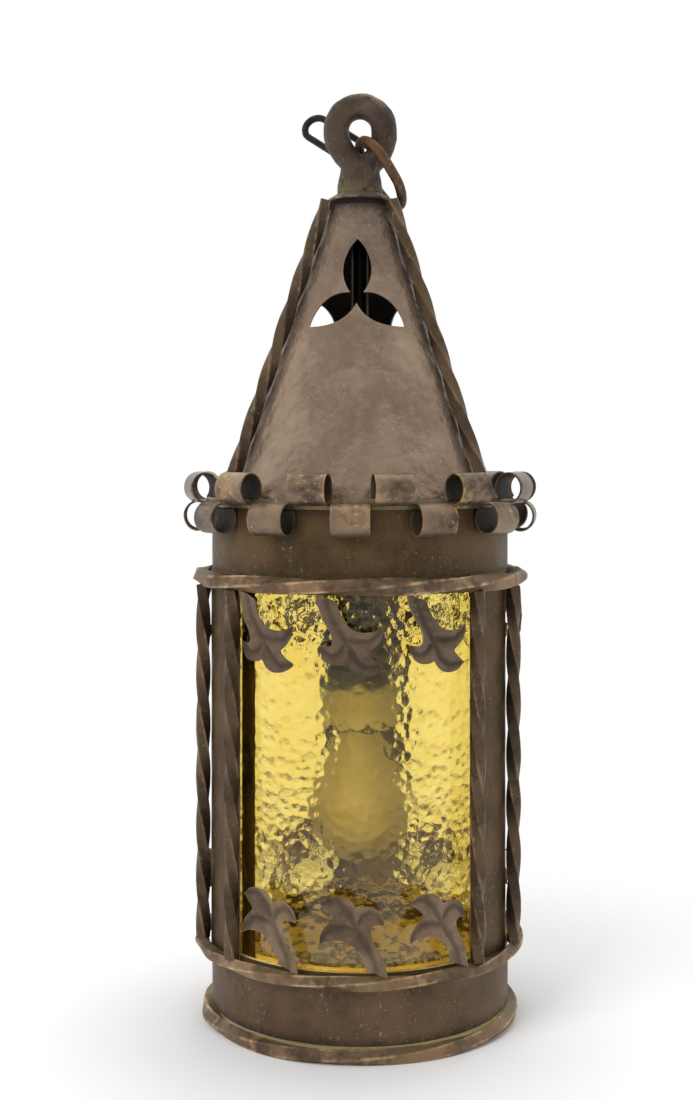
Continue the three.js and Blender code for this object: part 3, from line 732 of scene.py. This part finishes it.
def build_panes():
    for i in range(3):
        pane = curved_sheet(f"bent_pane_{i + 1}", PANE_WIDTH, PANE_TOP - PANE_FOOT, PANE_THICKNESS, 64, 1)
        wrapped(pane, PANE_RADIUS)
        settle(pane, place=(0, 0, PANE_FOOT))
        settle(pane, turn=(0, 0, i * WINDOW_ANGLE))
        hand_over(pane, [f"glass_pane_{i + 1}"], AMBER, degrees=20)
        finished(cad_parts[f"pane_channel_{i + 1}"], BAND_COPPER)


# Leaves
LEAF_START = (9, 0)
LEAF_BENDS = [
    ((6.6, 9.2), (0.6, 18.3)),
    ((-2.2, 26.6), (1.8, 26.8)),
    ((4.4, 27), (7.2, 26)),
    ((5.6, 37), (-2.4, 37)),
    ((-6, 37), (-8.2, 35.4)),
    ((-11.6, 43), (-19, 42.2)),
    ((-25, 41.6), (-28.6, 37.2)),
    ((-23, 34), (-20.3, 30)),
    ((-29.6, 23.6), (-28.2, 15.6)),
    ((-25, 18.6), (-18.5, 18.9)),
    ((-6.2, 18.6), (-2.6, 0)),
]
LEAF_VEINS = [
    [(2.8, 3), (0.6, 9.5), (-3.6, 17), (-8.4, 25), (-13, 34), (-19, 39), (-26.5, 38)],
    [(-7, 27), (-4.5, 31), (-0.5, 33), (3, 31.5), (6, 28)],
    [(-9.5, 24), (-15, 25), (-21.5, 24.5), (-26, 20.5), (-27.6, 17.5)],
]
LEAF_HEAD = (-10, 28)


def bent_line(start, bends, steps=10):
    """Points along a run of curves, each given by its bend and its end"""
    points = [start]
    for bend, end in bends:
        first = points[-1]
        for i in range(1, steps + 1):
            t = i / steps
            points.append(tuple(
                (1 - t) ** 2 * a + 2 * t * (1 - t) * b + t * t * c for a, b, c in zip(first, bend, end)))
    return points


def nearest(places, line):
    """How far each flat place lies from a line of points"""
    line = np.array(line, float)
    best = np.full(len(places), np.inf)
    for a, b in zip(line[:-1], line[1:]):
        along = b - a
        share = np.clip((places - a) @ along / (along @ along), 0, 1)
        best = np.minimum(best, np.linalg.norm(places - a - share[:, None] * along, axis=1))
    return best


def chased_leaf():
    """A cut leaf, chased along its veins and dressed up along its edges, with its outer side to -Y"""
    outline = bent_line(LEAF_START, LEAF_BENDS)[:-1]
    leaf = drawn("chased_leaf", [(x * MM, z * MM, 0) for x, z in outline], filled=True)
    settle(leaf, turn=(math.pi / 2, 0, 0))
    tidy_normals(leaf)
    work(leaf, "SOLIDIFY", thickness=LEAF_SHEET, offset=0)
    work(leaf, "REMESH", mode="VOXEL", voxel_size=0.5 * MM)
    work(leaf, "SMOOTH", factor=0.5, iterations=3)
    places = corners_of(leaf)
    flat = places[:, (0, 2)] / MM
    vein = np.min([nearest(flat, line) for line in LEAF_VEINS], axis=0)
    edge = nearest(flat, outline + outline[:1])
    from_head = np.hypot(flat[:, 0] - LEAF_HEAD[0], flat[:, 1] - LEAF_HEAD[1])
    in_head = np.clip((flat[:, 1] - 6) / 12, 0, 1)
    out = 2.7 * (1 - np.exp(-(vein / 2.6) ** 1.5)) * (0.35 + 0.65 * in_head)
    out += 0.6 * np.clip(1 - edge / 1.2, 0, 1) ** 1.5
    out += 1.8 * in_head * np.clip(from_head / 20, 0, 1.2) ** 2 - 1.2
    places[:, 1] -= out * MM
    places[:, 2] -= 2.4 * MM * np.clip(1 - flat[:, 1] / 5, 0, 1)
    leaf.data.vertices.foreach_set("co", places.ravel())
    # Painted highlight along the leaf's rims, in the pale edge tone
    mark(leaf, "wear_and_highlight", 1 - edge / 1.0)
    # Painted shade in the chased veins
    mark(leaf, "inner", 0.5 * np.exp(-(vein / 1.5) ** 2))
    return leaf


def build_leaves():
    pattern = chased_leaf()
    heights = {"lower": LOWER_RING_TOP + FIT, "upper": UPPER_RING_UNDER - FIT}
    radii = {"lower": LOWER_RING_RADIUS, "upper": UPPER_RING_RADIUS}
    for row, upwards in (("lower", 1), ("upper", -1)):
        for i in range(3):
            for k in range(3):
                number = 3 * i + k + 1
                leaf = copied(pattern, f"chased_{row}_leaf_{number}")
                settle(leaf, turn=(-math.atan(LEAF_LEAN) + math.radians(chance.uniform(-1.2, 1.2)), 0, 0))
                if upwards < 0:
                    settle(leaf, turn=(0, math.pi, 0))
                wrapped(leaf, radii[row])
                settle(leaf, place=(0, 0, heights[row]))
                head = LEAF_PITCH * (k - 1)
                root = head + upwards * LEAF_HEAD_OFFSET / radii[row]
                settle(leaf, turn=(0, 0, i * WINDOW_ANGLE + root))
                finish = LEAF_COPPER if row == "lower" else SHADED_LEAF
                hand_over(leaf, [f"{row}_leaf_{number}"], finish, degrees=60)
    bpy.data.objects.remove(pattern)


# Roof
def cone_radius(height):
    return ROOF_FOOT_RADIUS - (height - ROOF_FOOT) * math.tan(ROOF_SLOPE)


def trefoil_line():
    """Three pointed petals that meet at a small throat"""
    points = []
    for i in range(3):
        angle = math.pi / 2 + i * WINDOW_ANGLE

        def turned(along, across, angle=angle):
            return (
                along * math.cos(angle) - across * math.sin(angle),
                along * math.sin(angle) + across * math.cos(angle),
            )

        reach = PETAL_REACH[i]
        near, far, swell = 0.32 * reach, 0.7 * reach, PETAL_SWELL
        throat = (TREFOIL_THROAT * math.cos(math.pi / 3), TREFOIL_THROAT * math.sin(math.pi / 3))
        rise = [turned(throat[0], -throat[1]), turned(near, -swell), turned(far, -swell), turned(reach, 0)]
        fall = [turned(reach, 0), turned(far, swell), turned(near, swell), turned(throat[0], throat[1])]
        for a, b, c, d in (rise, fall):
            for step in range(14):
                t = step / 14
                weights = ((1 - t) ** 3, 3 * t * (1 - t) ** 2, 3 * t * t * (1 - t), t ** 3)
                points.append(tuple(sum(w * p[n] for w, p in zip(weights, (a, b, c, d))) for n in (0, 1)))
    return points


def build_cone():
    skin = SHEET / math.cos(ROOF_SLOPE)
    profile = [
        (ROOF_FOOT_RADIUS - skin, ROOF_FOOT), (ROOF_FOOT_RADIUS, ROOF_FOOT),
        (ROOF_TOP_RADIUS, ROOF_TOP), (ROOF_TOP_RADIUS - skin, ROOF_TOP),
    ]
    cone = spun("pierced_roof_cone", profile, 192, 3 * MM)
    dented(cone, 0.022, 0.0007)
    depth = cone_radius(TREFOIL_HEIGHT)
    for i in range(3):
        cutter = drawn("trefoil", [(x * MM, y * MM, 0) for x, y in trefoil_line()], filled=True)
        tidy_normals(cutter)
        work(cutter, "SOLIDIFY", thickness=depth, offset=0)
        settle(cutter, turn=(math.pi / 2 - ROOF_SLOPE, 0, 0))
        settle(cutter, place=(0, -depth, TREFOIL_HEIGHT))
        settle(cutter, turn=(0, 0, i * WINDOW_ANGLE))
        cut(cone, cutter)
    places = corners_of(cone)
    outline = [np.array([x, y]) for x, y in trefoil_line()]
    wear_and_highlight = np.zeros(len(places))
    for i in range(3):
        angle = -i * WINDOW_ANGLE
        across = (places[:, 0] * math.cos(angle) - places[:, 1] * math.sin(angle)) / MM
        front = places[:, 0] * math.sin(angle) + places[:, 1] * math.cos(angle)
        up = (places[:, 2] - TREFOIL_HEIGHT) / math.cos(ROOF_SLOPE) / MM
        near = nearest(np.column_stack([across, up]), outline + outline[:1])
        wear_and_highlight = np.maximum(wear_and_highlight, np.where(front < 0, 1 - near / 1.2, 0))
    mark(cone, "wear_and_highlight", wear_and_highlight)
    # Darker and greyer towards the top; painted shade just below the cap and along the roof bars
    around = np.arctan2(places[:, 0], -places[:, 1])
    from_bar = np.abs((around + WINDOW_ANGLE) % WINDOW_ANGLE - WINDOW_ANGLE / 2)
    from_bar *= np.hypot(places[:, 0], places[:, 1])
    upper = 0.55 * np.clip((places[:, 2] - ROOF_TOP + 75 * MM) / (60 * MM), 0, 1)
    upper += 0.6 * np.clip((places[:, 2] - ROOF_TOP + 12 * MM) / (10 * MM), 0, 1)
    mark(cone, "dust_and_shade", np.maximum(upper, 0.9 - from_bar / (11 * MM)))
    # Painted shade on the cone's inner side and on its top below the cap
    within = cone_radius(places[:, 2]) - np.hypot(places[:, 0], places[:, 1]) > skin / 2
    under_cap = np.clip((places[:, 2] - ROOF_TOP + 6 * MM) / (6 * MM), 0, 0.9)
    mark(cone, "inner", np.maximum(np.where(within, 1, 0), under_cap))
    hand_over(cone, ["roof_cone"], SHEET_COPPER, degrees=30)


def rolled_tab(name, direction, arc):
    """One tab of the flange: a strip that runs out and rolls back to itself, up or down"""
    width = 2 * math.pi * TAB_ROOT_RADIUS / TAB_COUNT - TAB_SLIT
    length = ROLL_CENTRE - TAB_ROOT_RADIUS + SHEET
    end = -ROLL_CENTRE
    bpy.ops.mesh.primitive_plane_add(size=1)
    tab = claim(name)
    tab.scale = (width, length, 1)
    settle(tab, place=(0, end + length / 2, 0))
    pick(tab, "EDGE", lambda a, b: abs(a.x - b.x) > width / 2)
    bpy.ops.mesh.subdivide(number_cuts=10)
    pick(tab, "EDGE", lambda a, b: max(abs(a.y - end), abs(b.y - end)) < 1e-6)
    radius = (ROLL_HEIGHT - SHEET) / 2
    bpy.ops.mesh.spin(steps=34, angle=arc, center=(0, end, direction * radius), axis=(direction, 0, 0))
    pick(tab, "VERT", lambda place: abs(place.z) > 1e-6)
    squeeze = (ROLL_WIDTH - SHEET) / (ROLL_HEIGHT - SHEET)
    bpy.ops.transform.resize(value=(1, squeeze, 1), center_override=(0, end, 0))
    return tidy_normals(tab)


def build_flange():
    tabs = []
    for i in range(TAB_COUNT):
        direction = -1 if i % 2 == 0 else 1
        tab = rolled_tab(f"tab_{i}", direction, math.radians(ROLL_ARC - chance.uniform(0, 14)))
        places = corners_of(tab)
        across = np.abs(places[:, 0])
        mark(tab, "wear_and_highlight", (across - across.max() + 1.8 * MM) / (1.8 * MM))
        work(tab, "SOLIDIFY", thickness=SHEET, offset=0)
        work(tab, "BEVEL", width=0.22 * MM, segments=1, limit_method="ANGLE", angle_limit=math.radians(50))
        places = corners_of(tab)
        wide, high = ROLL_WIDTH - SHEET, ROLL_HEIGHT - SHEET
        from_middle = places[:, 2] - direction * high / 2
        from_roll = np.hypot((places[:, 1] + ROLL_CENTRE) / wide, from_middle / high)
        # Painted shade inside each roll, and a light painted shade over the whole lower row
        mark(tab, "inner", np.where(from_roll < 0.49, 0.85, 0.0 if direction > 0 else 0.18))
        settle(tab, place=(0, 0, FLANGE_FOOT + SHEET / 2))
        lean = math.radians(chance.uniform(-0.5, 0.5))
        settle(tab, turn=(0, 0, i * 2 * math.pi / TAB_COUNT + lean))
        tabs.append(tab)
    section = band_profile(FLANGE_FOOT, FLANGE_FOOT + SHEET, ROOF_FOOT_RADIUS - 4 * MM, TAB_ROOT_RADIUS)
    plate = spun("flange_plate", section, 182, 3 * MM)
    mark(plate, "dust_and_shade", np.full(len(plate.data.vertices), 0.7))
    flange = joined([plate] + tabs, "curled_eave_flange")
    dented(flange, 0.012, 0.0004)
    hand_over(flange, ["curl_flange"], CURL_COPPER, degrees=45)


# Cap, eye and links
def build_cap():
    seat = ROOF_TOP_RADIUS - 0.9 * MM
    profile = [
        (PIPE_RADIUS + FIT, CAP_FOOT), (seat, CAP_FOOT), (seat - 0.6 * MM, CAP_FOOT + 2.4 * MM),
        (CAP_RADIUS - 0.4 * MM, CAP_FOOT + 2.9 * MM), (CAP_RADIUS, CAP_FOOT + 3.5 * MM),
        (CAP_RADIUS - 0.2 * MM, CAP_FOOT + 4.3 * MM), (CAP_RADIUS - 1.6 * MM, CAP_FOOT + 4.9 * MM),
        (NECK_WIDTH / 2 + SHEET, CAP_TOP - 0.5 * MM), (NECK_WIDTH / 2 + 0.6 * MM, CAP_TOP),
        (PIPE_RADIUS + FIT, CAP_TOP),
    ]
    cap = spun("ragged_roof_cap", profile, 120, 0.7 * MM)
    dented(cap, 0.004, 0.0012)
    places = corners_of(cap)
    height = places[:, 2] - CAP_FOOT
    out = np.hypot(places[:, 0], places[:, 1]) - CAP_RADIUS
    mark(cap, "wear_and_highlight", np.where(height > 2.6 * MM, 1 + out / (2.4 * MM), 0))
    # Painted shade in the undercut below the cap's rim
    mark(cap, "inner", np.where(height < 2.6 * MM, 1.0, 0.0))
    hand_over(cap, ["roof_cap"], CAP_COPPER, degrees=50)


def forged_rod(name, points, radii, thickness):
    """A rod bent through points, its thickness drawn in or left full at each of them"""
    bpy.ops.curve.primitive_bezier_curve_add()
    rod = bpy.context.object
    rod.data.dimensions = "3D"
    rod.data.splines.clear()
    spline = rod.data.splines.new("BEZIER")
    spline.bezier_points.add(len(points) - 1)
    for knot, place, share in zip(spline.bezier_points, points, radii):
        knot.co = place
        knot.radius = share
        knot.handle_left_type = knot.handle_right_type = "AUTO"
    rod.data.bevel_depth = thickness / 2
    rod.data.bevel_resolution = 6
    rod.data.resolution_u = 14
    rod.data.use_fill_caps = True
    take(rod)
    bpy.ops.object.convert(target="MESH")
    return claim(name)


def build_eye():
    def loop(degrees):
        angle = math.radians(degrees)
        return (EYE_RADIUS * math.cos(angle), 0, EYE_HEIGHT + EYE_RADIUS * math.sin(angle))

    def seat(degrees):
        angle = math.radians(degrees)
        away = EYE_ROD / 2 + HANG_ROD / 2 + 2.7 * MM
        return (HANG_PLACE.x + away * math.cos(angle), 0, HANG_PLACE.z + away * math.sin(angle))

    neck_top = NECK_FOOT + NECK_HEIGHT
    points = [
        (-2.96 * MM, 0, neck_top - 7 * MM), (-2.96 * MM, 0, neck_top),
        seat(230), seat(205), loop(180), loop(150),
        loop(120), loop(90), loop(60), loop(30), loop(0), seat(-15), seat(-45), (4.43 * MM, 0, neck_top),
        (2.96 * MM, 0, neck_top - 7 * MM),
    ]
    radii = [0.95, 0.95, 0.97, 0.98, 1, 1, 1, 1, 1, 1, 1, 0.98, 0.97, 0.95, 0.95]
    rod = forged_rod("forged_eye", points, radii, EYE_ROD + 1.6 * MM)
    neck = spun("neck", [
        (0, NECK_FOOT), (NECK_WIDTH / 2 - 0.2 * MM, NECK_FOOT),
        (NECK_WIDTH / 2 + 0.4 * MM, NECK_FOOT + 0.6 * MM),
        (NECK_WIDTH / 2 - 0.4 * MM, NECK_FOOT + NECK_HEIGHT / 2), (NECK_WIDTH / 2 - 1.4 * SHEET, neck_top),
        (0, neck_top + SHEET),
    ], 64, 1, closed=False)
    pick(neck, "VERT", lambda place: True)
    bpy.ops.transform.resize(value=(1, NECK_DEPTH / NECK_WIDTH, 1), center_override=(0, 0, 0))
    leave_edit()
    tongue = forged_rod("tongue", [
        (8.6 * MM, -4.6 * MM, neck_top + 3 * MM), (5.6 * MM, -6.6 * MM, neck_top - 4 * MM),
        (3.6 * MM, -7 * MM, neck_top - 10 * MM), (2.8 * MM, -6.6 * MM, neck_top - 15 * MM),
    ], [0.9, 1, 0.85, 0.4], 7.4 * MM)
    eye = joined([rod, neck, tongue], "forged_eye")
    work(eye, "REMESH", mode="VOXEL", voxel_size=0.6 * MM)
    work(eye, "SMOOTH", factor=0.5, iterations=5)
    dented(eye, 0.008, 0.0009)
    bpy.ops.mesh.primitive_cylinder_add(
        vertices=48, radius=PIPE_RADIUS + FIT, depth=BORE_TOP - NECK_FOOT + 4 * MM,
        location=(0, 0, (BORE_TOP + NECK_FOOT - 4 * MM) / 2))
    cut(eye, settle(claim("bore")))
    bpy.ops.mesh.primitive_cylinder_add(
        vertices=32, radius=3.5 * MM, depth=NECK_DEPTH, location=(0, NECK_DEPTH / 2, BORE_TOP - 3.5 * MM),
        rotation=(math.pi / 2, 0, 0))
    cut(eye, settle(claim("inlet"), turn=(math.pi / 2, 0, 0)))
    places = corners_of(eye)
    mark(eye, "wear_and_highlight", np.clip((places[:, 2] - EYE_HEIGHT) / EYE_RADIUS, 0, 1) * 0.8)
    mark(eye, "dust_and_shade", 1 - (places[:, 2] - NECK_FOOT) / (8 * MM))
    hand_over(eye, ["hanging_eye"], EYE_COPPER, degrees=60)


def oval_link(name, rod, width, length):
    """An oval ring of round rod in the XZ plane, hung from the middle of its upper end"""
    bpy.ops.mesh.primitive_torus_add(
        major_radius=width / 2, minor_radius=rod / 2, major_segments=96, minor_segments=20)
    link = settle(claim(name))
    stretch = (length - width) / 2
    for way in (1, -1):
        pick(link, "VERT", lambda place: place.y * way > 1e-6)
        bpy.ops.transform.translate(value=(0, way * stretch, 0))
        leave_edit()
    settle(link, turn=(math.pi / 2, 0, 0))
    return settle(link, place=(0, 0, -length / 2))


def set_in(piece, matrix):
    take(piece)
    piece.matrix_world = matrix
    bpy.ops.object.transform_apply(location=True, rotation=True, scale=True)
    return piece


def turn_about(axis, degrees):
    return Matrix.Rotation(math.radians(degrees), 4, axis)


def build_links():
    hang = oval_link("worn_hanging_link", HANG_ROD, HANG_WIDTH, HANG_LENGTH)
    dented(hang, 0.006, 0.0004)
    hang_turn = turn_about("Y", -31) @ turn_about("X", 7) @ turn_about("Z", -70)
    hang_place = Matrix.Translation(HANG_PLACE) @ hang_turn
    set_in(hang, hang_place)
    hand_over(hang, ["hanging_link"], LINK_COPPER, "hanging_link", degrees=60)

    chain = oval_link("black_chain_link", CHAIN_ROD, CHAIN_WIDTH, CHAIN_LENGTH)
    dented(chain, 0.006, 0.0003)
    around = math.radians(50)
    bend = HANG_WIDTH / 2
    end = hang_place @ Vector((-bend * math.sin(around), 0, bend * (math.cos(around) - 1)))
    towards = (turn_about("Y", 35) @ turn_about("Z", -20)).to_3x3() @ Vector((-1, 0, 0))
    across = Vector((0, 1, 0)).cross(towards).normalized()
    across = Matrix.Rotation(math.radians(10), 3, towards) @ across
    normal = across.cross(towards)
    turn = Matrix((across, normal, -towards)).transposed().to_4x4()
    place = end - towards * ((HANG_ROD + CHAIN_ROD) / 2 + 1.8 * MM)
    set_in(chain, Matrix.Translation(place) @ turn)
    hand_over(chain, ["chain_link"], BLACK_IRON, "chain_link", degrees=60)


# Lamp
def build_lamp():
    pipe = spun("threaded_lamp_pipe", [
        (PIPE_BORE, PIPE_FOOT), (PIPE_RADIUS - 0.3 * MM, PIPE_FOOT), (PIPE_RADIUS, PIPE_FOOT + 0.4 * MM),
        (PIPE_RADIUS, PIPE_TOP - 0.4 * MM), (PIPE_RADIUS - 0.3 * MM, PIPE_TOP), (PIPE_BORE, PIPE_TOP),
    ], 40, 6 * MM)
    hand_over(pipe, ["lamp_pipe"], DARK_BRASS)
    for name, foot in (("cap_nut", CAP_FOOT - FIT - NUT_HEIGHT), ("holder_nut", HOLDER_CAP_TOP + FIT)):
        bpy.ops.mesh.primitive_cylinder_add(
            vertices=6, radius=NUT_WIDTH / math.sqrt(3), depth=NUT_HEIGHT,
            location=(0, 0, foot + NUT_HEIGHT / 2), rotation=(0, 0, math.pi / 6))
        nut = settle(claim(f"chamfered_{name}"), turn=(0, 0, math.pi / 6))
        bpy.ops.mesh.primitive_cylinder_add(
            vertices=40, radius=PIPE_RADIUS + FIT, depth=NUT_HEIGHT + 3 * MM,
            location=(0, 0, foot + NUT_HEIGHT / 2))
        cut(nut, settle(claim("nut_hole")))
        work(nut, "BEVEL", width=0.5 * MM, segments=2, limit_method="ANGLE", angle_limit=math.radians(45))
        hand_over(nut, [name], BRASS, degrees=25)

    ribs = []
    for i in range(6):
        foot = HOLDER_MOUTH + 6 * MM + i * 2.4 * MM
        ribs += [(HOLDER_RADIUS, foot), (HOLDER_RADIUS - 0.7 * MM, foot + 0.6 * MM),
                 (HOLDER_RADIUS - 0.7 * MM, foot + 1.2 * MM), (HOLDER_RADIUS, foot + 1.8 * MM)]
    holder = spun("ribbed_lamp_holder", [
        (HOLDER_BORE, HOLDER_MOUTH + 0.6 * MM), (HOLDER_BORE + 0.6 * MM, HOLDER_MOUTH),
        (HOLDER_RADIUS - 0.8 * MM, HOLDER_MOUTH), (HOLDER_RADIUS, HOLDER_MOUTH + 0.8 * MM),
        *ribs, (HOLDER_RADIUS, HOLDER_TOP), (INSERT_RADIUS + FIT, HOLDER_TOP),
        (INSERT_RADIUS + FIT, HOLDER_FLOOR), (HOLDER_BORE, HOLDER_FLOOR),
    ], 72, 8 * MM)
    mark(holder, "collar", (HOLDER_MOUTH + HOLDER_COLLAR - corners_of(holder)[:, 2]) / (2 * MM))
    hand_over(holder, ["lamp_holder"], SHELL)
    shoulder = HOLDER_CAP_TOP - 9 * MM
    cap = spun("domed_holder_cap", [
        (INSERT_RADIUS, HOLDER_TOP + FIT), (HOLDER_RADIUS, HOLDER_TOP + FIT),
        (HOLDER_RADIUS, shoulder - 1 * MM),
        (HOLDER_RADIUS - 0.8 * MM, shoulder + 1 * MM), (NUT_WIDTH / 2 + 2.2 * MM, HOLDER_CAP_TOP - 0.5 * MM),
        (NUT_WIDTH / 2 + SHEET, HOLDER_CAP_TOP), (PIPE_RADIUS + FIT, HOLDER_CAP_TOP),
        (PIPE_RADIUS + FIT, HOLDER_CAP_TOP - 6 * MM), (INSERT_RADIUS, shoulder - 3 * MM),
    ], 72, 8 * MM)
    hand_over(cap, ["holder_cap"], SHELL)
    section = band_profile(INSERT_FOOT, INSERT_FOOT + INSERT_HEIGHT, PIPE_BORE, INSERT_RADIUS)
    insert = spun("glazed_insert", section, 56, 9 * MM)
    hand_over(insert, ["holder_insert"], PORCELAIN)
    finished(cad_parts["contact_tongue"], BRASS)

    def half_bulb(wall):
        crown = BULB_SEAT - BULB_LENGTH + BULB_RADIUS
        radius = BULB_RADIUS - wall
        neck = BULB_NECK - wall
        turns = [math.radians(BULB_SHOULDER * i / 24) for i in range(25)]
        line = [(radius * math.sin(a), crown - radius * math.cos(a)) for a in turns]
        bend = (neck + 4.6 * MM, BULB_SEAT - 14 * MM)
        return line + bent_line(line[-1], [(bend, (neck, BULB_SEAT))], 8)[1:]

    glass = half_bulb(0) + half_bulb(1 * MM)[::-1]
    glass[0] = (0, glass[0][1])
    glass[-1] = (0, glass[-1][1])
    bulb = spun("frosted_bulb", glass, 64, closed=False)
    hand_over(bulb, ["bulb"], BULB_GLASS, "bulb")
    screw = [(0, BULB_CAP_FOOT), (BULB_CAP_RADIUS - 0.4 * MM, BULB_CAP_FOOT)]
    for i in range(5):
        foot = BULB_CAP_FOOT + 1 * MM + i * 3 * MM
        screw += [(BULB_CAP_RADIUS - 0.9 * MM, foot), (BULB_CAP_RADIUS, foot + 1.1 * MM),
                  (BULB_CAP_RADIUS, foot + 1.5 * MM), (BULB_CAP_RADIUS - 0.9 * MM, foot + 2.6 * MM)]
    screw += [(5 * MM, BULB_CAP_FOOT + 20 * MM), (4.6 * MM, BULB_CAP_FOOT + 22.6 * MM),
              (3.6 * MM, BULB_CAP_FOOT + 23 * MM), (0, BULB_CAP_FOOT + 23 * MM)]
    thread = spun("threaded_bulb_cap", screw, 56, closed=False)
    hand_over(thread, ["bulb_cap"], BRASS, "bulb")


# Camera, floor and light
def set_camera():
    turn = math.radians(2.85)
    away = 0.930
    view = bpy.data.cameras.new("photo_view")
    view.lens = 50.73
    view.shift_x = -14 / 1100
    view.shift_y = -90 / 1100
    camera = bpy.data.objects.new("photo_view", view)
    bpy.context.scene.collection.objects.link(camera)
    camera.location = (away * math.sin(turn), -away * math.cos(turn), 0.3276)
    camera.rotation_euler = (math.pi / 2, 0, turn)
    bpy.context.scene.camera = camera


def soft_lamp(name, place, aim, size, power):
    lamp = bpy.data.lights.new(name, "AREA")
    lamp.size = size
    lamp.energy = power
    holder = bpy.data.objects.new(name, lamp)
    bpy.context.scene.collection.objects.link(holder)
    holder.location = place
    holder.rotation_euler = (Vector(aim) - Vector(place)).to_track_quat("-Z", "Y").to_euler()
    holder.visible_glossy = False


def set_stage():
    bpy.ops.mesh.primitive_circle_add(vertices=96, radius=0.9, fill_type="NGON", location=(0, 0, -0.0002))
    floor = settle(claim("floor"))
    paper = Finish("white_floor")
    away = paper.node("VectorMath", {"operation": "LENGTH"}, {0: paper.place()}, out="Value")
    white = paper.node("BsdfDiffuse", {}, {"Color": (0.92, 0.92, 0.92, 1)})
    clear = paper.node("BsdfTransparent")
    mixed = paper.node("MixShader", {}, {0: away.over(0.15, 0.36), 1: white, 2: clear})
    paper.node("OutputMaterial", {}, {"Surface": mixed})
    floor.data.materials.append(paper.owner)

    world = bpy.data.worlds.new("studio")
    bpy.context.scene.world = world
    sky = Finish("studio", world)
    way = sky.node("SeparateXYZ", {}, {"Vector": sky.node("TexCoord", out="Generated")}, out="Y")
    rise = way.other("Z")
    bright = way.calc("MAXIMUM", way.over(-0.7, 0.05), 1 - rise.over(-0.3, -0.08))
    path = sky.node("LightPath", out="Is Camera Ray")
    passing = path.other("Is Transmission Ray")
    overhead = rise.over(0.05, 0.35) * 0.4
    through = passing * (rise.over(-0.262, -0.236) * 0.86 + 0.14 + overhead)
    mirrored = path.calc("MAXIMUM", path.other("Is Glossy Ray") * (bright * 0.75 + 0.25), 0.5) * (1 - passing)
    strength = path.calc("MAXIMUM", path, path.calc("MAXIMUM", through, mirrored))
    glow = sky.node("Background", {}, {"Color": (1, 1, 1, 1), "Strength": strength})
    sky.node("OutputWorld", {}, {"Surface": glow})
    soft_lamp("key", (-0.9, -1.3, 1.2), (0, 0, 0.28), 0.9, 20)
    soft_lamp("fill", (1.2, -1.0, 0.6), (0, 0, 0.28), 0.9, 2.2)
    soft_lamp("top", (0.1, 0.3, 1.6), (0, 0, 0.3), 0.8, 12)
    bpy.context.scene.view_settings.view_transform = "Standard"


set_camera()
set_stage()
build_rings()
build_bars()
build_bands()
build_posts()
build_panes()
build_leaves()
build_cone()
build_flange()
build_cap()
build_eye()
build_links()
build_lamp()
